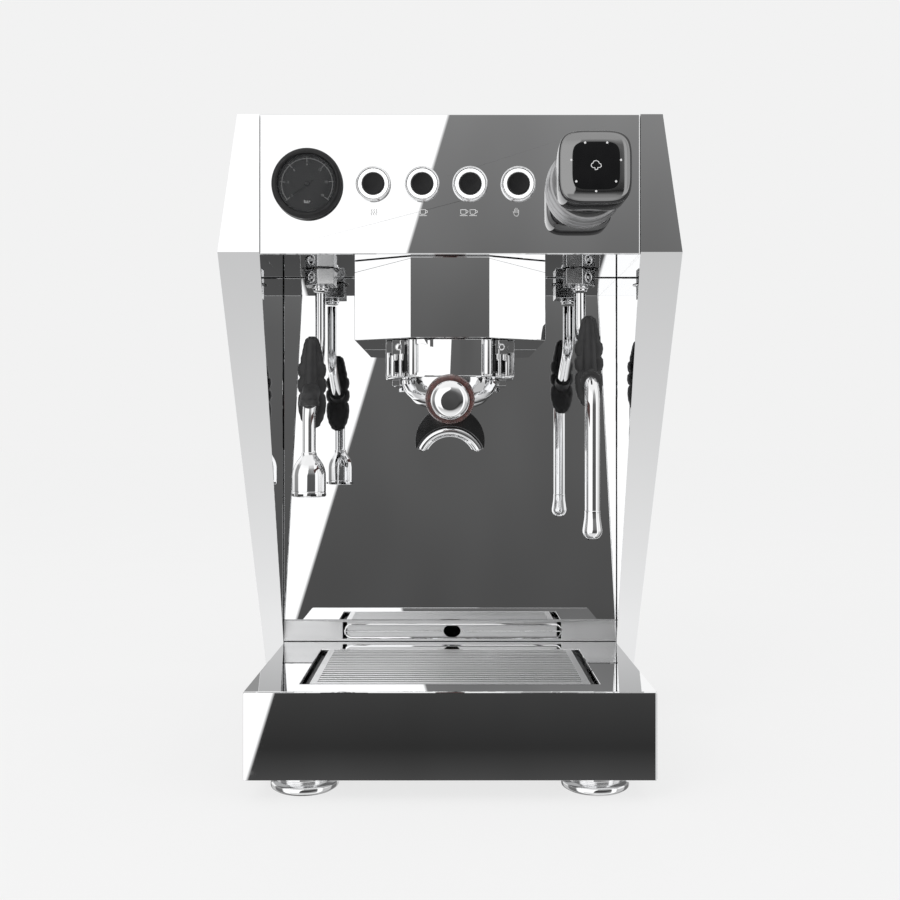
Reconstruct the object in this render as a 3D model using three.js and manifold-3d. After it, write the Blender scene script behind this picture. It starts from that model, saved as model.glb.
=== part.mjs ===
// Single-boiler espresso machine with a mirror steel body, a fixed group with a
// wooden-handled portafilter, a steam wand and a hot water wand.
// Millimetres, +Z up, X to the machine's right as seen from the front, front faces -Y.
// The shapes are laid out with y = 0 on the fascia's front face and z = 0 on the
// surface that the feet stand on; the whole group is then moved along Y so that
// the origin is the centre of the footprint.
import * as THREE from "three";
import { mergeVertices } from "three/addons/utils/BufferGeometryUtils.js";
import Module from "manifold-3d";

const wasm = await Module();
wasm.setup();

// ---------- driving dimensions ----------
const Y_FRONT = -98; // end of the portafilter handle
const Y_REAR = 282; // outer face of the mains inlet's flange
const TOP = 417.6; // upper edge of the body
const FLOOR_FEET = 12.8; // height of the feet
const DECK = 64; // top of the base
const BASE_FRONT = -60; // outer face of the base's front panel
const BASE_HALF = 120.4; // half width of the base
const HEAD_FLOOR = 328.7; // underside of the head
const FASCIA_HALF = 120.65; // half width of the fascia
const CREASE_Z = 330; // height where the side panels are widest
const SIDE_TOP_X = 135.3; // half width at the top
const SIDE_MID_X = 147.9; // half width at the crease
const SIDE_DECK_X = 135.7; // half width at the deck's height
const SIDE_BOTTOM_Z = 16;
const SLANT_Y = 101; // how far back the side panels' front edge stands at the deck
const SHEET = 2; // sheet thickness
const SPLASH_Y = 102; // front face of the splash panel
const BODY_REAR = 277.2; // rear end of the side panels
const GAP = 0.35;

const GROUP_Y = 52; // group axis
const RING_R = 43.5,
  RING_Z0 = 251.4,
  RING_Z1 = 275.9;
const HOOD_Z0 = 276.3,
  HOOD_Z1 = 328.3;

const WAND_X = 90,
  WAND_Y = 65,
  WAND_LOW_Y = -3;

const BUTTON_X = [-48.7, -17.7, 12.8, 43.4];
const BUTTON_Z = 373;
const GAUGE = { x: -90.5, z: 372.8, r: 22.5 };
const KNOB = { x: 85.6, z: 371.3 };
const INLET = { x0: -112, x1: -80, z0: 26, z1: 78 };

// ---------- materials ----------
const mat = (color, roughness, metalness, extra = {}) =>
  new THREE.MeshStandardMaterial({ color, roughness, metalness, ...extra });
const MIRROR = () => mat(0xc9cbcd, 0.06, 1);
const BRUSHED = () => mat(0xb4b6b8, 0.32, 1);
const CHROME = () => mat(0xd6d8da, 0.05, 1);
const BRASS = () => mat(0xb58d4a, 0.35, 1);
const COPPER = () => mat(0xb06a45, 0.3, 1);
const BLACK = () => mat(0x17181a, 0.25, 0);
const MATTE_BLACK = () => mat(0x222325, 0.6, 0);
const SILICONE = () => mat(0x1d1e20, 0.75, 0);
const WOOD = () => mat(0x54291f, 0.42, 0);

// ---------- helpers ----------
const solid = (geometry) => {
  const g = geometry.index ? geometry.toNonIndexed() : geometry.clone();
  g.deleteAttribute("normal");
  g.deleteAttribute("uv");
  const m = mergeVertices(g, 1e-4);
  return new wasm.Manifold(
    new wasm.Mesh({
      numProp: 3,
      vertProperties: m.attributes.position.array,
      triVerts: new Uint32Array(m.index.array),
    }),
  );
};
const geometryOf = (manifold) => {
  const m = manifold.getMesh();
  const v = new Float32Array(m.numVert * 3);
  for (let i = 0; i < m.numVert; i++)
    v.set(m.vertProperties.subarray(i * m.numProp, i * m.numProp + 3), i * 3);
  const g = new THREE.BufferGeometry();
  g.setAttribute("position", new THREE.BufferAttribute(v, 3));
  g.setIndex(new THREE.BufferAttribute(new Uint32Array(m.triVerts), 1));
  g.computeVertexNormals();
  return g;
};
const join = (first, ...others) => others.reduce((a, b) => a.add(b), first);
const cut = (first, ...others) => others.reduce((a, b) => a.subtract(b), first);

const box = (x0, x1, y0, y1, z0, z1) =>
  solid(
    new THREE.BoxGeometry(x1 - x0, y1 - y0, z1 - z0).translate(
      (x0 + x1) / 2,
      (y0 + y1) / 2,
      (z0 + z1) / 2,
    ),
  );
const outline = (points) =>
  new THREE.Shape(points.map(([a, b]) => new THREE.Vector2(a, b)));
const extrude = (shape, depth, curveSegments = 10) =>
  new THREE.ExtrudeGeometry(shape, {
    depth,
    bevelEnabled: false,
    curveSegments,
    steps: 1,
  });
// a shape drawn in XZ, from y0 to y1
const prismXZ = (shape, y0, y1, seg) =>
  solid(
    extrude(shape, y1 - y0, seg)
      .rotateX(Math.PI / 2)
      .translate(0, y1, 0),
  );
// a shape drawn in XY, from z0 to z1
const prismXY = (shape, z0, z1, seg) =>
  solid(extrude(shape, z1 - z0, seg).translate(0, 0, z0));
// a shape drawn in YZ, from x0 to x1
const prismYZ = (shape, x0, x1, seg) =>
  solid(
    extrude(shape, x1 - x0, seg).applyMatrix4(
      new THREE.Matrix4().set(0, 0, 1, x0, 1, 0, 0, 0, 0, 1, 0, 0, 0, 0, 0, 1),
    ),
  );
// a profile that starts and ends on the axis, or closes on itself
const closed = (profile) => {
  const p = profile.map(([r, h]) => new THREE.Vector2(r, h));
  if (profile[0][0] !== 0) p.push(p[0].clone());
  else if (profile[profile.length - 1][0] !== 0) p.push(p.shift());
  return p;
};
// a closed profile of [radius, height] points turned about Z at (x, y)
const latheZ = (profile, seg, x = 0, y = 0) => {
  const p = closed(profile);
  return solid(
    new THREE.LatheGeometry(p, seg).rotateX(Math.PI / 2).translate(x, y, 0),
  );
};
// a closed profile of [radius, y] points turned about the Y direction at (x, z)
const latheY = (profile, seg, x, z) => {
  const p = closed(profile);
  return solid(new THREE.LatheGeometry(p, seg).translate(x, 0, z));
};
const circle = (r, n) =>
  outline(
    Array.from({ length: n }, (_, i) => {
      const a = ((i + 0.5) / n) * 2 * Math.PI;
      return [r * Math.cos(a), r * Math.sin(a)];
    }),
  );
// a round bar along a path of points with rounded corners
const bar = (points, r, sides, fillet, cornerSteps = 4) => {
  const v = points.map((p) => new THREE.Vector3(...p));
  const path = [v[0]];
  for (let i = 1; i < v.length - 1; i++) {
    const a = v[i].clone().sub(v[i - 1]).normalize();
    const b = v[i + 1].clone().sub(v[i]).normalize();
    const start = v[i].clone().addScaledVector(a, -fillet);
    const end = v[i].clone().addScaledVector(b, fillet);
    for (let k = 0; k <= cornerSteps; k++) {
      const t = k / cornerSteps;
      path.push(
        start
          .clone()
          .multiplyScalar((1 - t) * (1 - t))
          .addScaledVector(v[i], 2 * t * (1 - t))
          .addScaledVector(end, t * t),
      );
    }
  }
  path.push(v[v.length - 1]);
  // one step for each straight piece, so that the bar follows the path exactly
  const exact = new THREE.Curve();
  exact.getPoint = (t) => {
    const n = path.length - 1;
    const i = Math.min(n, Math.round(t * n));
    return path[i].clone();
  };
  exact.getPointAt = exact.getPoint;
  exact.getTangent = (t) => {
    const n = path.length - 1;
    const i = Math.min(n, Math.round(t * n));
    const before = path[Math.max(0, i - 1)],
      after = path[Math.min(n, i + 1)];
    return after.clone().sub(before).normalize();
  };
  exact.getTangentAt = exact.getTangent;
  return solid(
    new THREE.ExtrudeGeometry(circle(r, sides), {
      steps: path.length - 1,
      bevelEnabled: false,
      extrudePath: exact,
    }),
  );
};

const machine = new THREE.Group();
machine.name = "espresso_machine";
const put = (name, manifold, material) => {
  const g = geometryOf(manifold);
  const mesh = new THREE.Mesh(g, material);
  mesh.name = name;
  machine.add(mesh);
  return manifold;
};

// ---------- side panels ----------
const slantY = (z) => ((CREASE_Z - z) * SLANT_Y) / (CREASE_Z - DECK);
const lowerX = (z) =>
  SIDE_DECK_X +
  ((z - DECK) * (SIDE_MID_X - SIDE_DECK_X)) / (CREASE_Z - DECK);
const sidePanel = () => {
  const inner = 121;
  const skin = prismXZ(
    outline([
      [inner, SIDE_BOTTOM_Z],
      [lowerX(SIDE_BOTTOM_Z), SIDE_BOTTOM_Z],
      [SIDE_MID_X, CREASE_Z],
      [SIDE_TOP_X, TOP],
      [inner, TOP],
    ]),
    0,
    BODY_REAR,
  );
  const front = prismYZ(
    outline([
      [-5, 5],
      [slantY(5), 5],
      [0, CREASE_Z],
      [-5, CREASE_Z],
    ]),
    100,
    160,
  );
  const hollow = prismXZ(
    outline([
      [110, 5],
      [lowerX(5) - SHEET, 5],
      [SIDE_MID_X - SHEET, CREASE_Z],
      [SIDE_TOP_X - SHEET - 0.4, TOP + 3],
      [110, TOP + 3],
    ]),
    SHEET,
    BODY_REAR + 10,
  );
  const keepFlange = prismYZ(
    outline([
      [-5, 0],
      [slantY(0) + SHEET + 0.15, 0],
      [SHEET + 0.15, CREASE_Z],
      [-5, CREASE_Z],
    ]),
    100,
    160,
  );
  return skin.subtract(front).subtract(hollow.subtract(keepFlange));
};
const rightPanel = sidePanel();
put("side_panel_right", rightPanel, MIRROR());
put("side_panel_left", rightPanel.mirror([1, 0, 0]), MIRROR());

const innerWall = prismYZ(
  outline([
    [slantY(DECK + 0.4) + SHEET + 0.6, DECK + 0.4],
    [150, DECK + 0.4],
    [150, HEAD_FLOOR - 0.4],
    [slantY(HEAD_FLOOR - 0.4) + SHEET + 0.6, HEAD_FLOOR - 0.4],
  ]),
  121.2,
  122.9,
);
put("inner_wall_right", innerWall, MIRROR());
put("inner_wall_left", innerWall.mirror([1, 0, 0]), MIRROR());

// ---------- base ----------
put(
  "base_chassis",
  cut(
    box(-119.9, 119.9, BASE_FRONT + SHEET + GAP, BODY_REAR - 0.4, 13.1, 61.6),
    box(-117.9, 117.9, BASE_FRONT + 5, BODY_REAR - 2.6, 15, 70),
    box(INLET.x0 + 2, INLET.x1 - 2, 270, 290, INLET.z0 + 2, 80), // notch for the mains inlet
  ),
  BRUSHED(),
);
put(
  "base_front_panel",
  box(-BASE_HALF, BASE_HALF, BASE_FRONT, BASE_FRONT + SHEET, FLOOR_FEET, DECK),
  MIRROR(),
);
const PAN = { x: 89.6, y0: -37.6, y1: 71.6 };
put(
  "deck_plate",
  cut(
    box(
      -BASE_HALF,
      BASE_HALF,
      BASE_FRONT + SHEET + GAP,
      160,
      DECK - SHEET,
      DECK,
    ),
    box(-PAN.x - 0.5, PAN.x + 0.5, PAN.y0 - 0.5, PAN.y1 + 0.5, 50, 70),
  ),
  MIRROR(),
);
put(
  "drip_pan",
  cut(
    box(-PAN.x, PAN.x, PAN.y0, PAN.y1, 15.4, 60),
    box(-PAN.x + 2, PAN.x - 2, PAN.y0 + 2, PAN.y1 - 2, 17.4, 57.4),
    box(-81.5, 81.5, -31, 65, 50, 62),
  ),
  MATTE_BLACK(),
);
{
  const z0 = 60.4,
    z1 = 64.2;
  let grid = cut(
    box(-84.5, 84.5, -37, 71, z0, z1),
    box(-80.3, 80.3, -32.6, 66.6, z0 - 1, z1 + 1),
  );
  const pitch = 5.7;
  for (let i = 0; i < 17; i++) {
    const y = 17 + (i - 8) * pitch;
    grid = grid.add(box(-81.5, 81.5, y - 1.55, y + 1.55, z0 + 1.1, z1 - 0.05));
  }
  for (const x of [-27, 27])
    grid = grid.add(box(x - 1.5, x + 1.5, -34, 68, z0 + 0.05, z0 + 1.4));
  put("drip_grid", grid, BRUSHED());
}
for (const [end, y] of [
  ["front", -31],
  ["rear", 246],
])
  for (const [side, x] of [
    ["left", -88],
    ["right", 88],
  ])
    put(
      `foot_${end}_${side}`,
      latheZ(
        [
          [0, 0],
          [16.5, 0],
          [19.6, 1.6],
          [20.5, 4],
          [20.5, 6.5],
          [17.5, 8.6],
          [16.5, FLOOR_FEET],
          [0, FLOOR_FEET],
        ],
        24,
        x,
        y,
      ),
      CHROME(),
    );

// ---------- splash panel, drain strip, head ----------
put(
  "splash_panel",
  box(-120.8, 120.8, SPLASH_Y, SPLASH_Y + SHEET, 79.8, HEAD_FLOOR - 0.4),
  MIRROR(),
);
{
  const oval = new THREE.Shape();
  oval.absellipse(1.5, 71.6, 6.2, 4.7, 0, Math.PI * 2);
  put(
    "drain_strip",
    cut(
      box(-120.8, 120.8, SPLASH_Y, SPLASH_Y + SHEET, DECK + GAP, 79.4),
      prismXZ(oval, 90, 110, 12),
      box(-78.1, -74.8, 90, 110, 66, 78),
      box(77.7, 81, 90, 110, 66, 78),
    ),
    BRUSHED(),
  );
}
{
  const hole = (x, z, r) =>
    latheY(
      [
        [0, -10],
        [r, -10],
        [r, 10],
        [0, 10],
      ],
      24,
      x,
      z,
    );
  let fascia = box(-FASCIA_HALF, FASCIA_HALF, 0, SHEET, HEAD_FLOOR, TOP);
  fascia = cut(
    fascia,
    hole(GAUGE.x, GAUGE.z, 20),
    hole(KNOB.x, KNOB.z, 12),
    ...BUTTON_X.map((x) => hole(x, BUTTON_Z, 8.9)),
  );
  put("fascia_panel", fascia, MIRROR());
}
{
  const z0 = HEAD_FLOOR,
    z1 = HEAD_FLOOR + SHEET;
  const well = (x, y, r, seg) =>
    latheZ(
      [
        [0, z0 - 5],
        [r, z0 - 5],
        [r, z1 + 5],
        [0, z1 + 5],
      ],
      seg,
      x,
      y,
    );
  put(
    "head_floor",
    cut(
      box(-120.3, 120.3, SHEET + GAP, SPLASH_Y + SHEET, z0, z1),
      well(0, GROUP_Y, 38, 32),
      well(WAND_X, WAND_Y, 7.2, 16),
      well(-WAND_X, WAND_Y, 7.2, 16),
    ),
    MIRROR(),
  );
}
const TANK = { x: 104, y0: 236, y1: 274 };
{
  // top cover: a tray for warming cups, with vent slots and a mouth for the tank's lid
  let top = cut(
    box(-132.4, 132.4, SHEET + GAP, BODY_REAR, 414.6, TOP),
    box(-TANK.x - 3.4, TANK.x + 3.4, 22, 224, 416, TOP + 2),
    box(-TANK.x - 3.4, TANK.x + 3.4, TANK.y0 - 2.2, 300, 410, 420),
  );
  for (let i = 0; i < 9; i++) {
    const x = -80 + i * 20;
    top = cut(top, box(x - 2.2, x + 2.2, 60, 190, 410, 420));
  }
  put("top_cover", top, BRUSHED());
}
{
  let rear = prismXZ(
    outline([
      [-lowerX(SIDE_BOTTOM_Z), SIDE_BOTTOM_Z],
      [lowerX(SIDE_BOTTOM_Z), SIDE_BOTTOM_Z],
      [SIDE_MID_X, CREASE_Z],
      [SIDE_TOP_X, TOP],
      [-SIDE_TOP_X, TOP],
      [-SIDE_MID_X, CREASE_Z],
    ]),
    BODY_REAR + 0.4,
    BODY_REAR + 2.4,
  );
  rear = cut(
    rear,
    box(INLET.x0 + 3, INLET.x1 - 3, 270, 290, INLET.z0 + 3, INLET.z1 - 3),
  );
  for (let i = 0; i < 8; i++)
    rear = cut(rear, box(-60, 60, 270, 290, 280 + i * 10, 284 + i * 10));
  put("rear_panel", rear, BRUSHED());
}

// ---------- mains inlet with its switch ----------
{
  const { x0, x1, z0, z1 } = INLET;
  put(
    "mains_inlet",
    cut(
      join(
        box(x0 + 3.4, x1 - 3.4, 258, 280, z0 + 3.4, z1 - 3.4),
        box(x0, x1, BODY_REAR + 2.8, Y_REAR, z0, z1),
      ),
      box(x0 + 6, x1 - 6, 264, 290, z0 + 6.5, z0 + 23),
      box(x0 + 6, x1 - 6, 268, 290, z0 + 29, z1 - 6.5),
    ),
    MATTE_BLACK(),
  );
  const zc = (z0 + 29 + z1 - 6.5) / 2; // middle of the rocker's pocket
  const rocker = prismYZ(
    outline([
      [272.5, zc - 2.4],
      [274.5, zc - 7.2],
      [277.2, zc - 7.4],
      [279.2, zc],
      [281, zc + 6.5],
      [277.4, zc + 7.3],
      [272.5, zc + 2.4],
    ]),
    x0 + 6.8,
    x1 - 6.8,
  );
  put("power_rocker", rocker, BLACK());
}

// ---------- group ----------
{
  const outer = outline([
    [-25.3, 7],
    [25.3, 7],
    [63, 27],
    [63, 101.4],
    [-63, 101.4],
    [-63, 27],
  ]);
  const inner = outline([
    [-24.8, 9],
    [24.8, 9],
    [61, 28.2],
    [61, 99.4],
    [-61, 99.4],
    [-61, 28.2],
  ]);
  put(
    "group_hood",
    cut(
      prismXY(outer, HOOD_Z0, HOOD_Z1),
      prismXY(inner, HOOD_Z0 + SHEET, HOOD_Z1 + 5),
      latheZ(
        [
          [0, 270],
          [39, 270],
          [39, 290],
          [0, 290],
        ],
        32,
        0,
        GROUP_Y,
      ),
    ),
    MIRROR(),
  );
  let body = latheZ(
    [
      [33.3, RING_Z0],
      [RING_R, RING_Z0],
      [RING_R, RING_Z1],
      [36, RING_Z1],
      [36, 336],
      [22, 345],
      [0, 345],
      [0, 266.6],
      [20, 266.6],
      [20, 270.2],
      [34.6, 270.2],
      [34.6, 264.6],
      [37.2, 264.6],
      [37.2, 254.6],
      [33.3, 254.6],
    ],
    32,
    0,
    GROUP_Y,
  );
  // flat front face of the ring and the two gates that let the portafilter's ears in
  body = cut(body, box(-60, 60, -40, GROUP_Y - 41.2, RING_Z0 - 1, RING_Z1 + 0.2));
  const gate = solid(
    new THREE.BoxGeometry(74, 17, 6)
      .rotateZ((-40 * Math.PI) / 180)
      .translate(0, GROUP_Y, RING_Z0 + 1),
  );
  body = cut(body, gate);
  put("group_body", body, CHROME());
}
const ringZ = (r0, r1, z0, z1, seg) =>
  latheZ(
    [
      [r0, z0],
      [r1, z0],
      [r1, z1],
      [r0, z1],
    ],
    seg,
    0,
    GROUP_Y,
  );
put("group_gasket", ringZ(29, 34.1, 265.1, 269.7, 32), SILICONE());
put(
  "shower_screen",
  latheZ(
    [
      [0, 264.4],
      [27.6, 264.4],
      [27.6, 265.9],
      [5, 266.2],
      [0, 266.2],
    ],
    32,
    0,
    GROUP_Y,
  ),
  BRUSHED(),
);
put(
  "filter_basket",
  latheZ(
    [
      [0, 247.2],
      [28, 247.2],
      [29.6, 248.6],
      [29.6, 262.9],
      [32.4, 262.9],
      [32.4, 264.2],
      [28.4, 264.2],
      [28.4, 249.6],
      [27.4, 248.5],
      [0, 248.5],
    ],
    28,
    0,
    GROUP_Y,
  ),
  BRUSHED(),
);

// ---------- portafilter ----------
const HANDLE_FROM = new THREE.Vector3(0, GROUP_Y - 31, 244.2);
const HANDLE_TO = new THREE.Vector3(0, Y_FRONT + 0.22, 232);
const handleDir = HANDLE_TO.clone().sub(HANDLE_FROM).normalize();
const handleLength = HANDLE_FROM.distanceTo(HANDLE_TO);
// a profile of [radius, distance along the handle] points turned about the handle's axis
const latheHandle = (profile, seg) => {
  const p = closed(profile);
  const turn = new THREE.Quaternion().setFromUnitVectors(
    new THREE.Vector3(0, 1, 0),
    handleDir,
  );
  return solid(
    new THREE.LatheGeometry(p, seg)
      .applyQuaternion(turn)
      .translate(HANDLE_FROM.x, HANDLE_FROM.y, HANDLE_FROM.z),
  );
};
{
  const bowl = latheZ(
    [
      [4, 233.9],
      [12, 234.5],
      [20, 236],
      [26, 238.6],
      [30, 242.6],
      [32.2, 247.4],
      [32.6, 250.5],
      [32.6, 262.5],
      [30.1, 262.5],
      [30.1, 247.2],
      [28, 244],
      [23, 240.8],
      [4, 238.6],
    ],
    32,
    0,
    GROUP_Y,
  );
  const ears = cut(
    box(-36.4, 36.4, GROUP_Y - 7, GROUP_Y + 7, 255.4, 259.6),
    latheZ(
      [
        [0, 250],
        [31.4, 250],
        [31.4, 265],
        [0, 265],
      ],
      32,
      0,
      GROUP_Y,
    ),
    cut(
      box(-60, 60, GROUP_Y - 20, GROUP_Y + 20, 250, 265),
      latheZ(
        [
          [0, 249],
          [36.4, 249],
          [36.4, 266],
          [0, 266],
        ],
        32,
        0,
        GROUP_Y,
      ),
    ),
  );
  const stem = latheHandle(
    [
      [0, -1.2],
      [6.6, -1.2],
      [6.6, 22],
      [5, 22],
      [5, 60],
      [0, 60],
    ],
    20,
  );
  put(
    "portafilter_body",
    join(
      bowl,
      ears,
      cut(
        stem,
        latheZ(
          [
            [0, 230],
            [30.6, 230],
            [30.6, 265],
            [0, 265],
          ],
          32,
          0,
          GROUP_Y,
        ),
      ),
    ),
    CHROME(),
  );
  const L = handleLength;
  put(
    "portafilter_handle",
    latheHandle(
      [
        [7.5, 22.4],
        [10.6, 22.4],
        [10.9, 34],
        [11.2, 52],
        [12.2, 74],
        [13.4, 94],
        [13.9, 106],
        [13.4, L - 9],
        [11.6, L - 6.2],
        [8, L - 6.2],
        [8, L - 16],
        [5.4, L - 16],
        [5.4, 30],
        [7.5, 24],
      ],
      22,
    ),
    WOOD(),
  );
  put(
    "handle_end_cap",
    latheHandle(
      [
        [0, L - 15.6],
        [5, L - 15.6],
        [7.5, L - 15.4],
        [7.5, L - 5.8],
        [11, L - 5.8],
        [10.6, L - 3.6],
        [8.8, L - 1.4],
        [5.6, L - 0.35],
        [0, L],
      ],
      22,
    ),
    CHROME(),
  );
  // double spout: a round-topped body whose underside is arched
  const R = 23.4,
    zc = 209.8,
    r2 = 22.6,
    z2 = 194.3;
  const crescent = [];
  const a0 = -12,
    a1 = 180 - a0;
  for (let i = 0; i <= 20; i++) {
    const a = ((a0 + ((a1 - a0) * i) / 20) * Math.PI) / 180;
    crescent.push([R * Math.cos(a), Math.min(232.6, zc + R * Math.sin(a))]);
  }
  const b0 = 26,
    b1 = 180 - b0;
  for (let i = 0; i <= 14; i++) {
    const a = ((b1 - ((b1 - b0) * i) / 14) * Math.PI) / 180;
    crescent.push([r2 * Math.cos(a), z2 + r2 * Math.sin(a)]);
  }
  const unique = crescent.filter(
    (p, i) =>
      i === 0 ||
      Math.hypot(p[0] - crescent[i - 1][0], p[1] - crescent[i - 1][1]) > 0.05,
  );
  put(
    "double_spout",
    join(
      prismXZ(outline(unique), GROUP_Y - 12, GROUP_Y + 12),
      latheZ(
        [
          [0, 228],
          [3.6, 228],
          [3.6, 237],
          [0, 237],
        ],
        16,
        0,
        GROUP_Y,
      ),
    ),
    CHROME(),
  );
}

// ---------- wands ----------
const swivel = (x) =>
  join(
    box(x - 10.5, x + 10.5, WAND_Y - 10.5, WAND_Y + 10.5, 317.4, 328.3),
    latheZ(
      [
        [0, 311.4],
        [7, 311.4],
        [8, 313],
        [8, 316],
        [7, 317.6],
        [0, 317.6],
      ],
      16,
      x,
      WAND_Y,
    ),
    latheZ(
      [
        [0, 328],
        [5.6, 328],
        [5.6, 338],
        [0, 338],
      ],
      16,
      x,
      WAND_Y,
    ),
  );
const wandPath = (x, lowY, zUp, zLow, zEnd) => [
  [x, WAND_Y, 311.0],
  [x, WAND_Y, zUp],
  [x, lowY, zLow],
  [x, lowY, zEnd],
];
// a leaf-shaped heat shield with three lobes on each edge, drawn in XZ
const leaf = (x, z0, z1) => {
  const h = z1 - z0;
  const half = [
    [0, 3.2],
    [0.05, 5.6],
    [0.12, 7.4],
    [0.2, 8.6],
    [0.26, 7.4],
    [0.34, 8.9],
    [0.42, 9.1],
    [0.48, 7.9],
    [0.56, 9.1],
    [0.64, 9],
    [0.7, 7.8],
    [0.78, 8.5],
    [0.86, 7.6],
    [0.94, 5.4],
    [1, 2.6],
  ];
  return outline([
    ...half.map(([t, w]) => [x + w, z0 + t * h]),
    ...half
      .slice()
      .reverse()
      .map(([t, w]) => [x - w, z0 + t * h]),
  ]);
};
{
  const steam = wandPath(WAND_X, WAND_LOW_Y, 279, 245, 166.3);
  put("steam_swivel", swivel(WAND_X), CHROME());
  put("steam_tube", bar(steam, 4.5, 10, 12, 3), CHROME());
  put(
    "steam_grip",
    cut(
      prismXZ(leaf(WAND_X, 232, 291), 10, 21),
      bar(steam, 4.95, 10, 12, 3),
    ),
    SILICONE(),
  );
  put(
    "steam_tip",
    latheZ(
      [
        [0, 148],
        [3.4, 148.2],
        [5.2, 149.6],
        [6.1, 152],
        [5.9, 155],
        [4.7, 163],
        [4.6, 165.9],
        [0, 165.9],
      ],
      16,
      WAND_X,
      WAND_LOW_Y,
    ),
    CHROME(),
  );
  const water = wandPath(-WAND_X, 4, 268, 236, 203);
  put("water_swivel", swivel(-WAND_X), CHROME());
  put("water_tube", bar(water, 4.1, 10, 12, 3), CHROME());
  put(
    "water_grip",
    cut(
      prismXZ(leaf(-WAND_X, 218, 278), 14, 25),
      bar(water, 4.55, 10, 12, 3),
    ),
    SILICONE(),
  );
  put(
    "water_nozzle",
    latheZ(
      [
        [0, 184],
        [7.4, 184],
        [8.6, 174.4],
        [10.2, 174.4],
        [10.7, 176],
        [10.7, 189],
        [9.4, 194.4],
        [6.6, 198.6],
        [4.6, 200.6],
        [4.3, 202.7],
        [0, 202.7],
      ],
      18,
      -WAND_X,
      4,
    ),
    CHROME(),
  );
}

// ---------- gauge ----------
{
  const { x, z, r } = GAUGE;
  put(
    "gauge_housing",
    latheY(
      [
        [0, 26],
        [0, -1.1],
        [18.8, -1.1],
        [18.8, -4.4],
        [19.6, -5.4],
        [21.4, -5.4],
        [r, -4.2],
        [r, -GAP],
        [19.5, -GAP],
        [19.5, 26],
      ],
      28,
      x,
      z,
    ),
    MATTE_BLACK(),
  );
  const disc = (r1, y0, y1, seg) =>
    latheY(
      [
        [0, y0],
        [r1, y0],
        [r1, y1],
        [0, y1],
      ],
      seg,
      x,
      z,
    );
  put("gauge_dial", disc(18.4, -1.9, -1.4, 24), MATTE_BLACK());
  // the needle points at the scale's zero, low on the left
  const a = (218 * Math.PI) / 180;
  const dir = (d, s) => [
    x + Math.cos(a) * d - Math.sin(a) * s,
    z + Math.sin(a) * d + Math.cos(a) * s,
  ];
  put(
    "gauge_needle",
    join(
      prismXZ(
        outline([dir(-5, -0.9), dir(13.6, -0.35), dir(13.6, 0.35), dir(-5, 0.9)]),
        -3.1,
        -2.6,
      ),
      disc(2.2, -3.3, -2.4, 12),
    ),
    BLACK(),
  );
  put(
    "gauge_lens",
    disc(18.4, -4.5, -3.8, 24),
    mat(0xffffff, 0.03, 0, { transparent: true, opacity: 0.25 }),
  );
}

// ---------- buttons ----------
BUTTON_X.forEach((x, i) => {
  put(
    `button_bezel_${i + 1}`,
    latheY(
      [
        [7.85, 14],
        [7.85, -2.2],
        [9.3, -2.6],
        [9.8, -3.4],
        [10.7, -3.2],
        [11.2, -2.2],
        [11.2, -GAP],
        [8.6, -GAP],
        [8.6, 14],
      ],
      18,
      x,
      BUTTON_Z,
    ),
    CHROME(),
  );
  put(
    `button_cap_${i + 1}`,
    latheY(
      [
        [0, 8],
        [0, -2.9],
        [6.8, -2.7],
        [7.5, -2.2],
        [7.5, 8],
      ],
      18,
      x,
      BUTTON_Z,
    ),
    BLACK(),
  );
});

// ---------- steam knob and valve ----------
{
  const { x, z } = KNOB;
  put(
    "knob_collar",
    latheY(
      [
        [7.2, -GAP],
        [7.2, -15.6],
        [22.6, -15.6],
        [23.6, -14.8],
        [24.2, -GAP],
      ],
      28,
      x,
      z,
    ),
    BRUSHED(),
  );
  const squircle = (half, n, power) =>
    outline(
      Array.from({ length: n }, (_, i) => {
        const t = (i / n) * 2 * Math.PI;
        const c = Math.cos(t),
          s = Math.sin(t);
        return [
          x + half * Math.sign(c) * Math.abs(c) ** (2 / power),
          z + half * Math.sign(s) * Math.abs(s) ** (2 / power),
        ];
      }),
    );
  put(
    "steam_knob",
    join(
      latheY(
        [
          [0, -6],
          [0, -22],
          [20.6, -22],
          [20.6, -16.2],
          [6.4, -16.2],
          [6.4, -6],
        ],
        28,
        x,
        z,
      ),
      prismXZ(squircle(20.8, 28, 4.2), -54.6, -21.9),
      prismXZ(squircle(21.7, 28, 4.2), -53.6, -30),
    ),
    BLACK(),
  );
  put(
    "steam_valve",
    join(
      latheY(
        [
          [0, 46],
          [0, -5.4],
          [4.4, -5.4],
          [4.4, 2.6],
          [11, 2.6],
          [11, 22],
          [8, 22],
          [8, 46],
        ],
        16,
        x,
        z,
      ),
      box(x - 7, x + 7, 26, 40, z - 22, z),
    ),
    BRASS(),
  );
}

// ---------- inside ----------
put(
  "boiler",
  join(
    latheZ(
      [
        [0, 196],
        [30, 198],
        [43, 203],
        [46, 210],
        [46, 322],
        [43, 329],
        [30, 334],
        [0, 336],
      ],
      24,
      -10,
      182,
    ),
    latheZ(
      [
        [0, 262],
        [50, 262],
        [50, 270],
        [0, 270],
      ],
      24,
      -10,
      182,
    ),
  ),
  BRASS(),
);
put(
  "brew_pipe",
  bar(
    [
      [0, GROUP_Y, 345.4],
      [0, GROUP_Y, 366],
      [-10, 182, 366],
      [-10, 182, 336.4],
    ],
    3,
    10,
    10,
  ),
  COPPER(),
);
put(
  "solenoid_valve",
  join(
    box(46, 70, 62, 88, 331.4, 345),
    latheZ(
      [
        [0, 344.8],
        [11, 344.8],
        [11, 376],
        [4, 376],
        [4, 381],
        [0, 381],
      ],
      16,
      58,
      75,
    ),
  ),
  MATTE_BLACK(),
);
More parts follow.
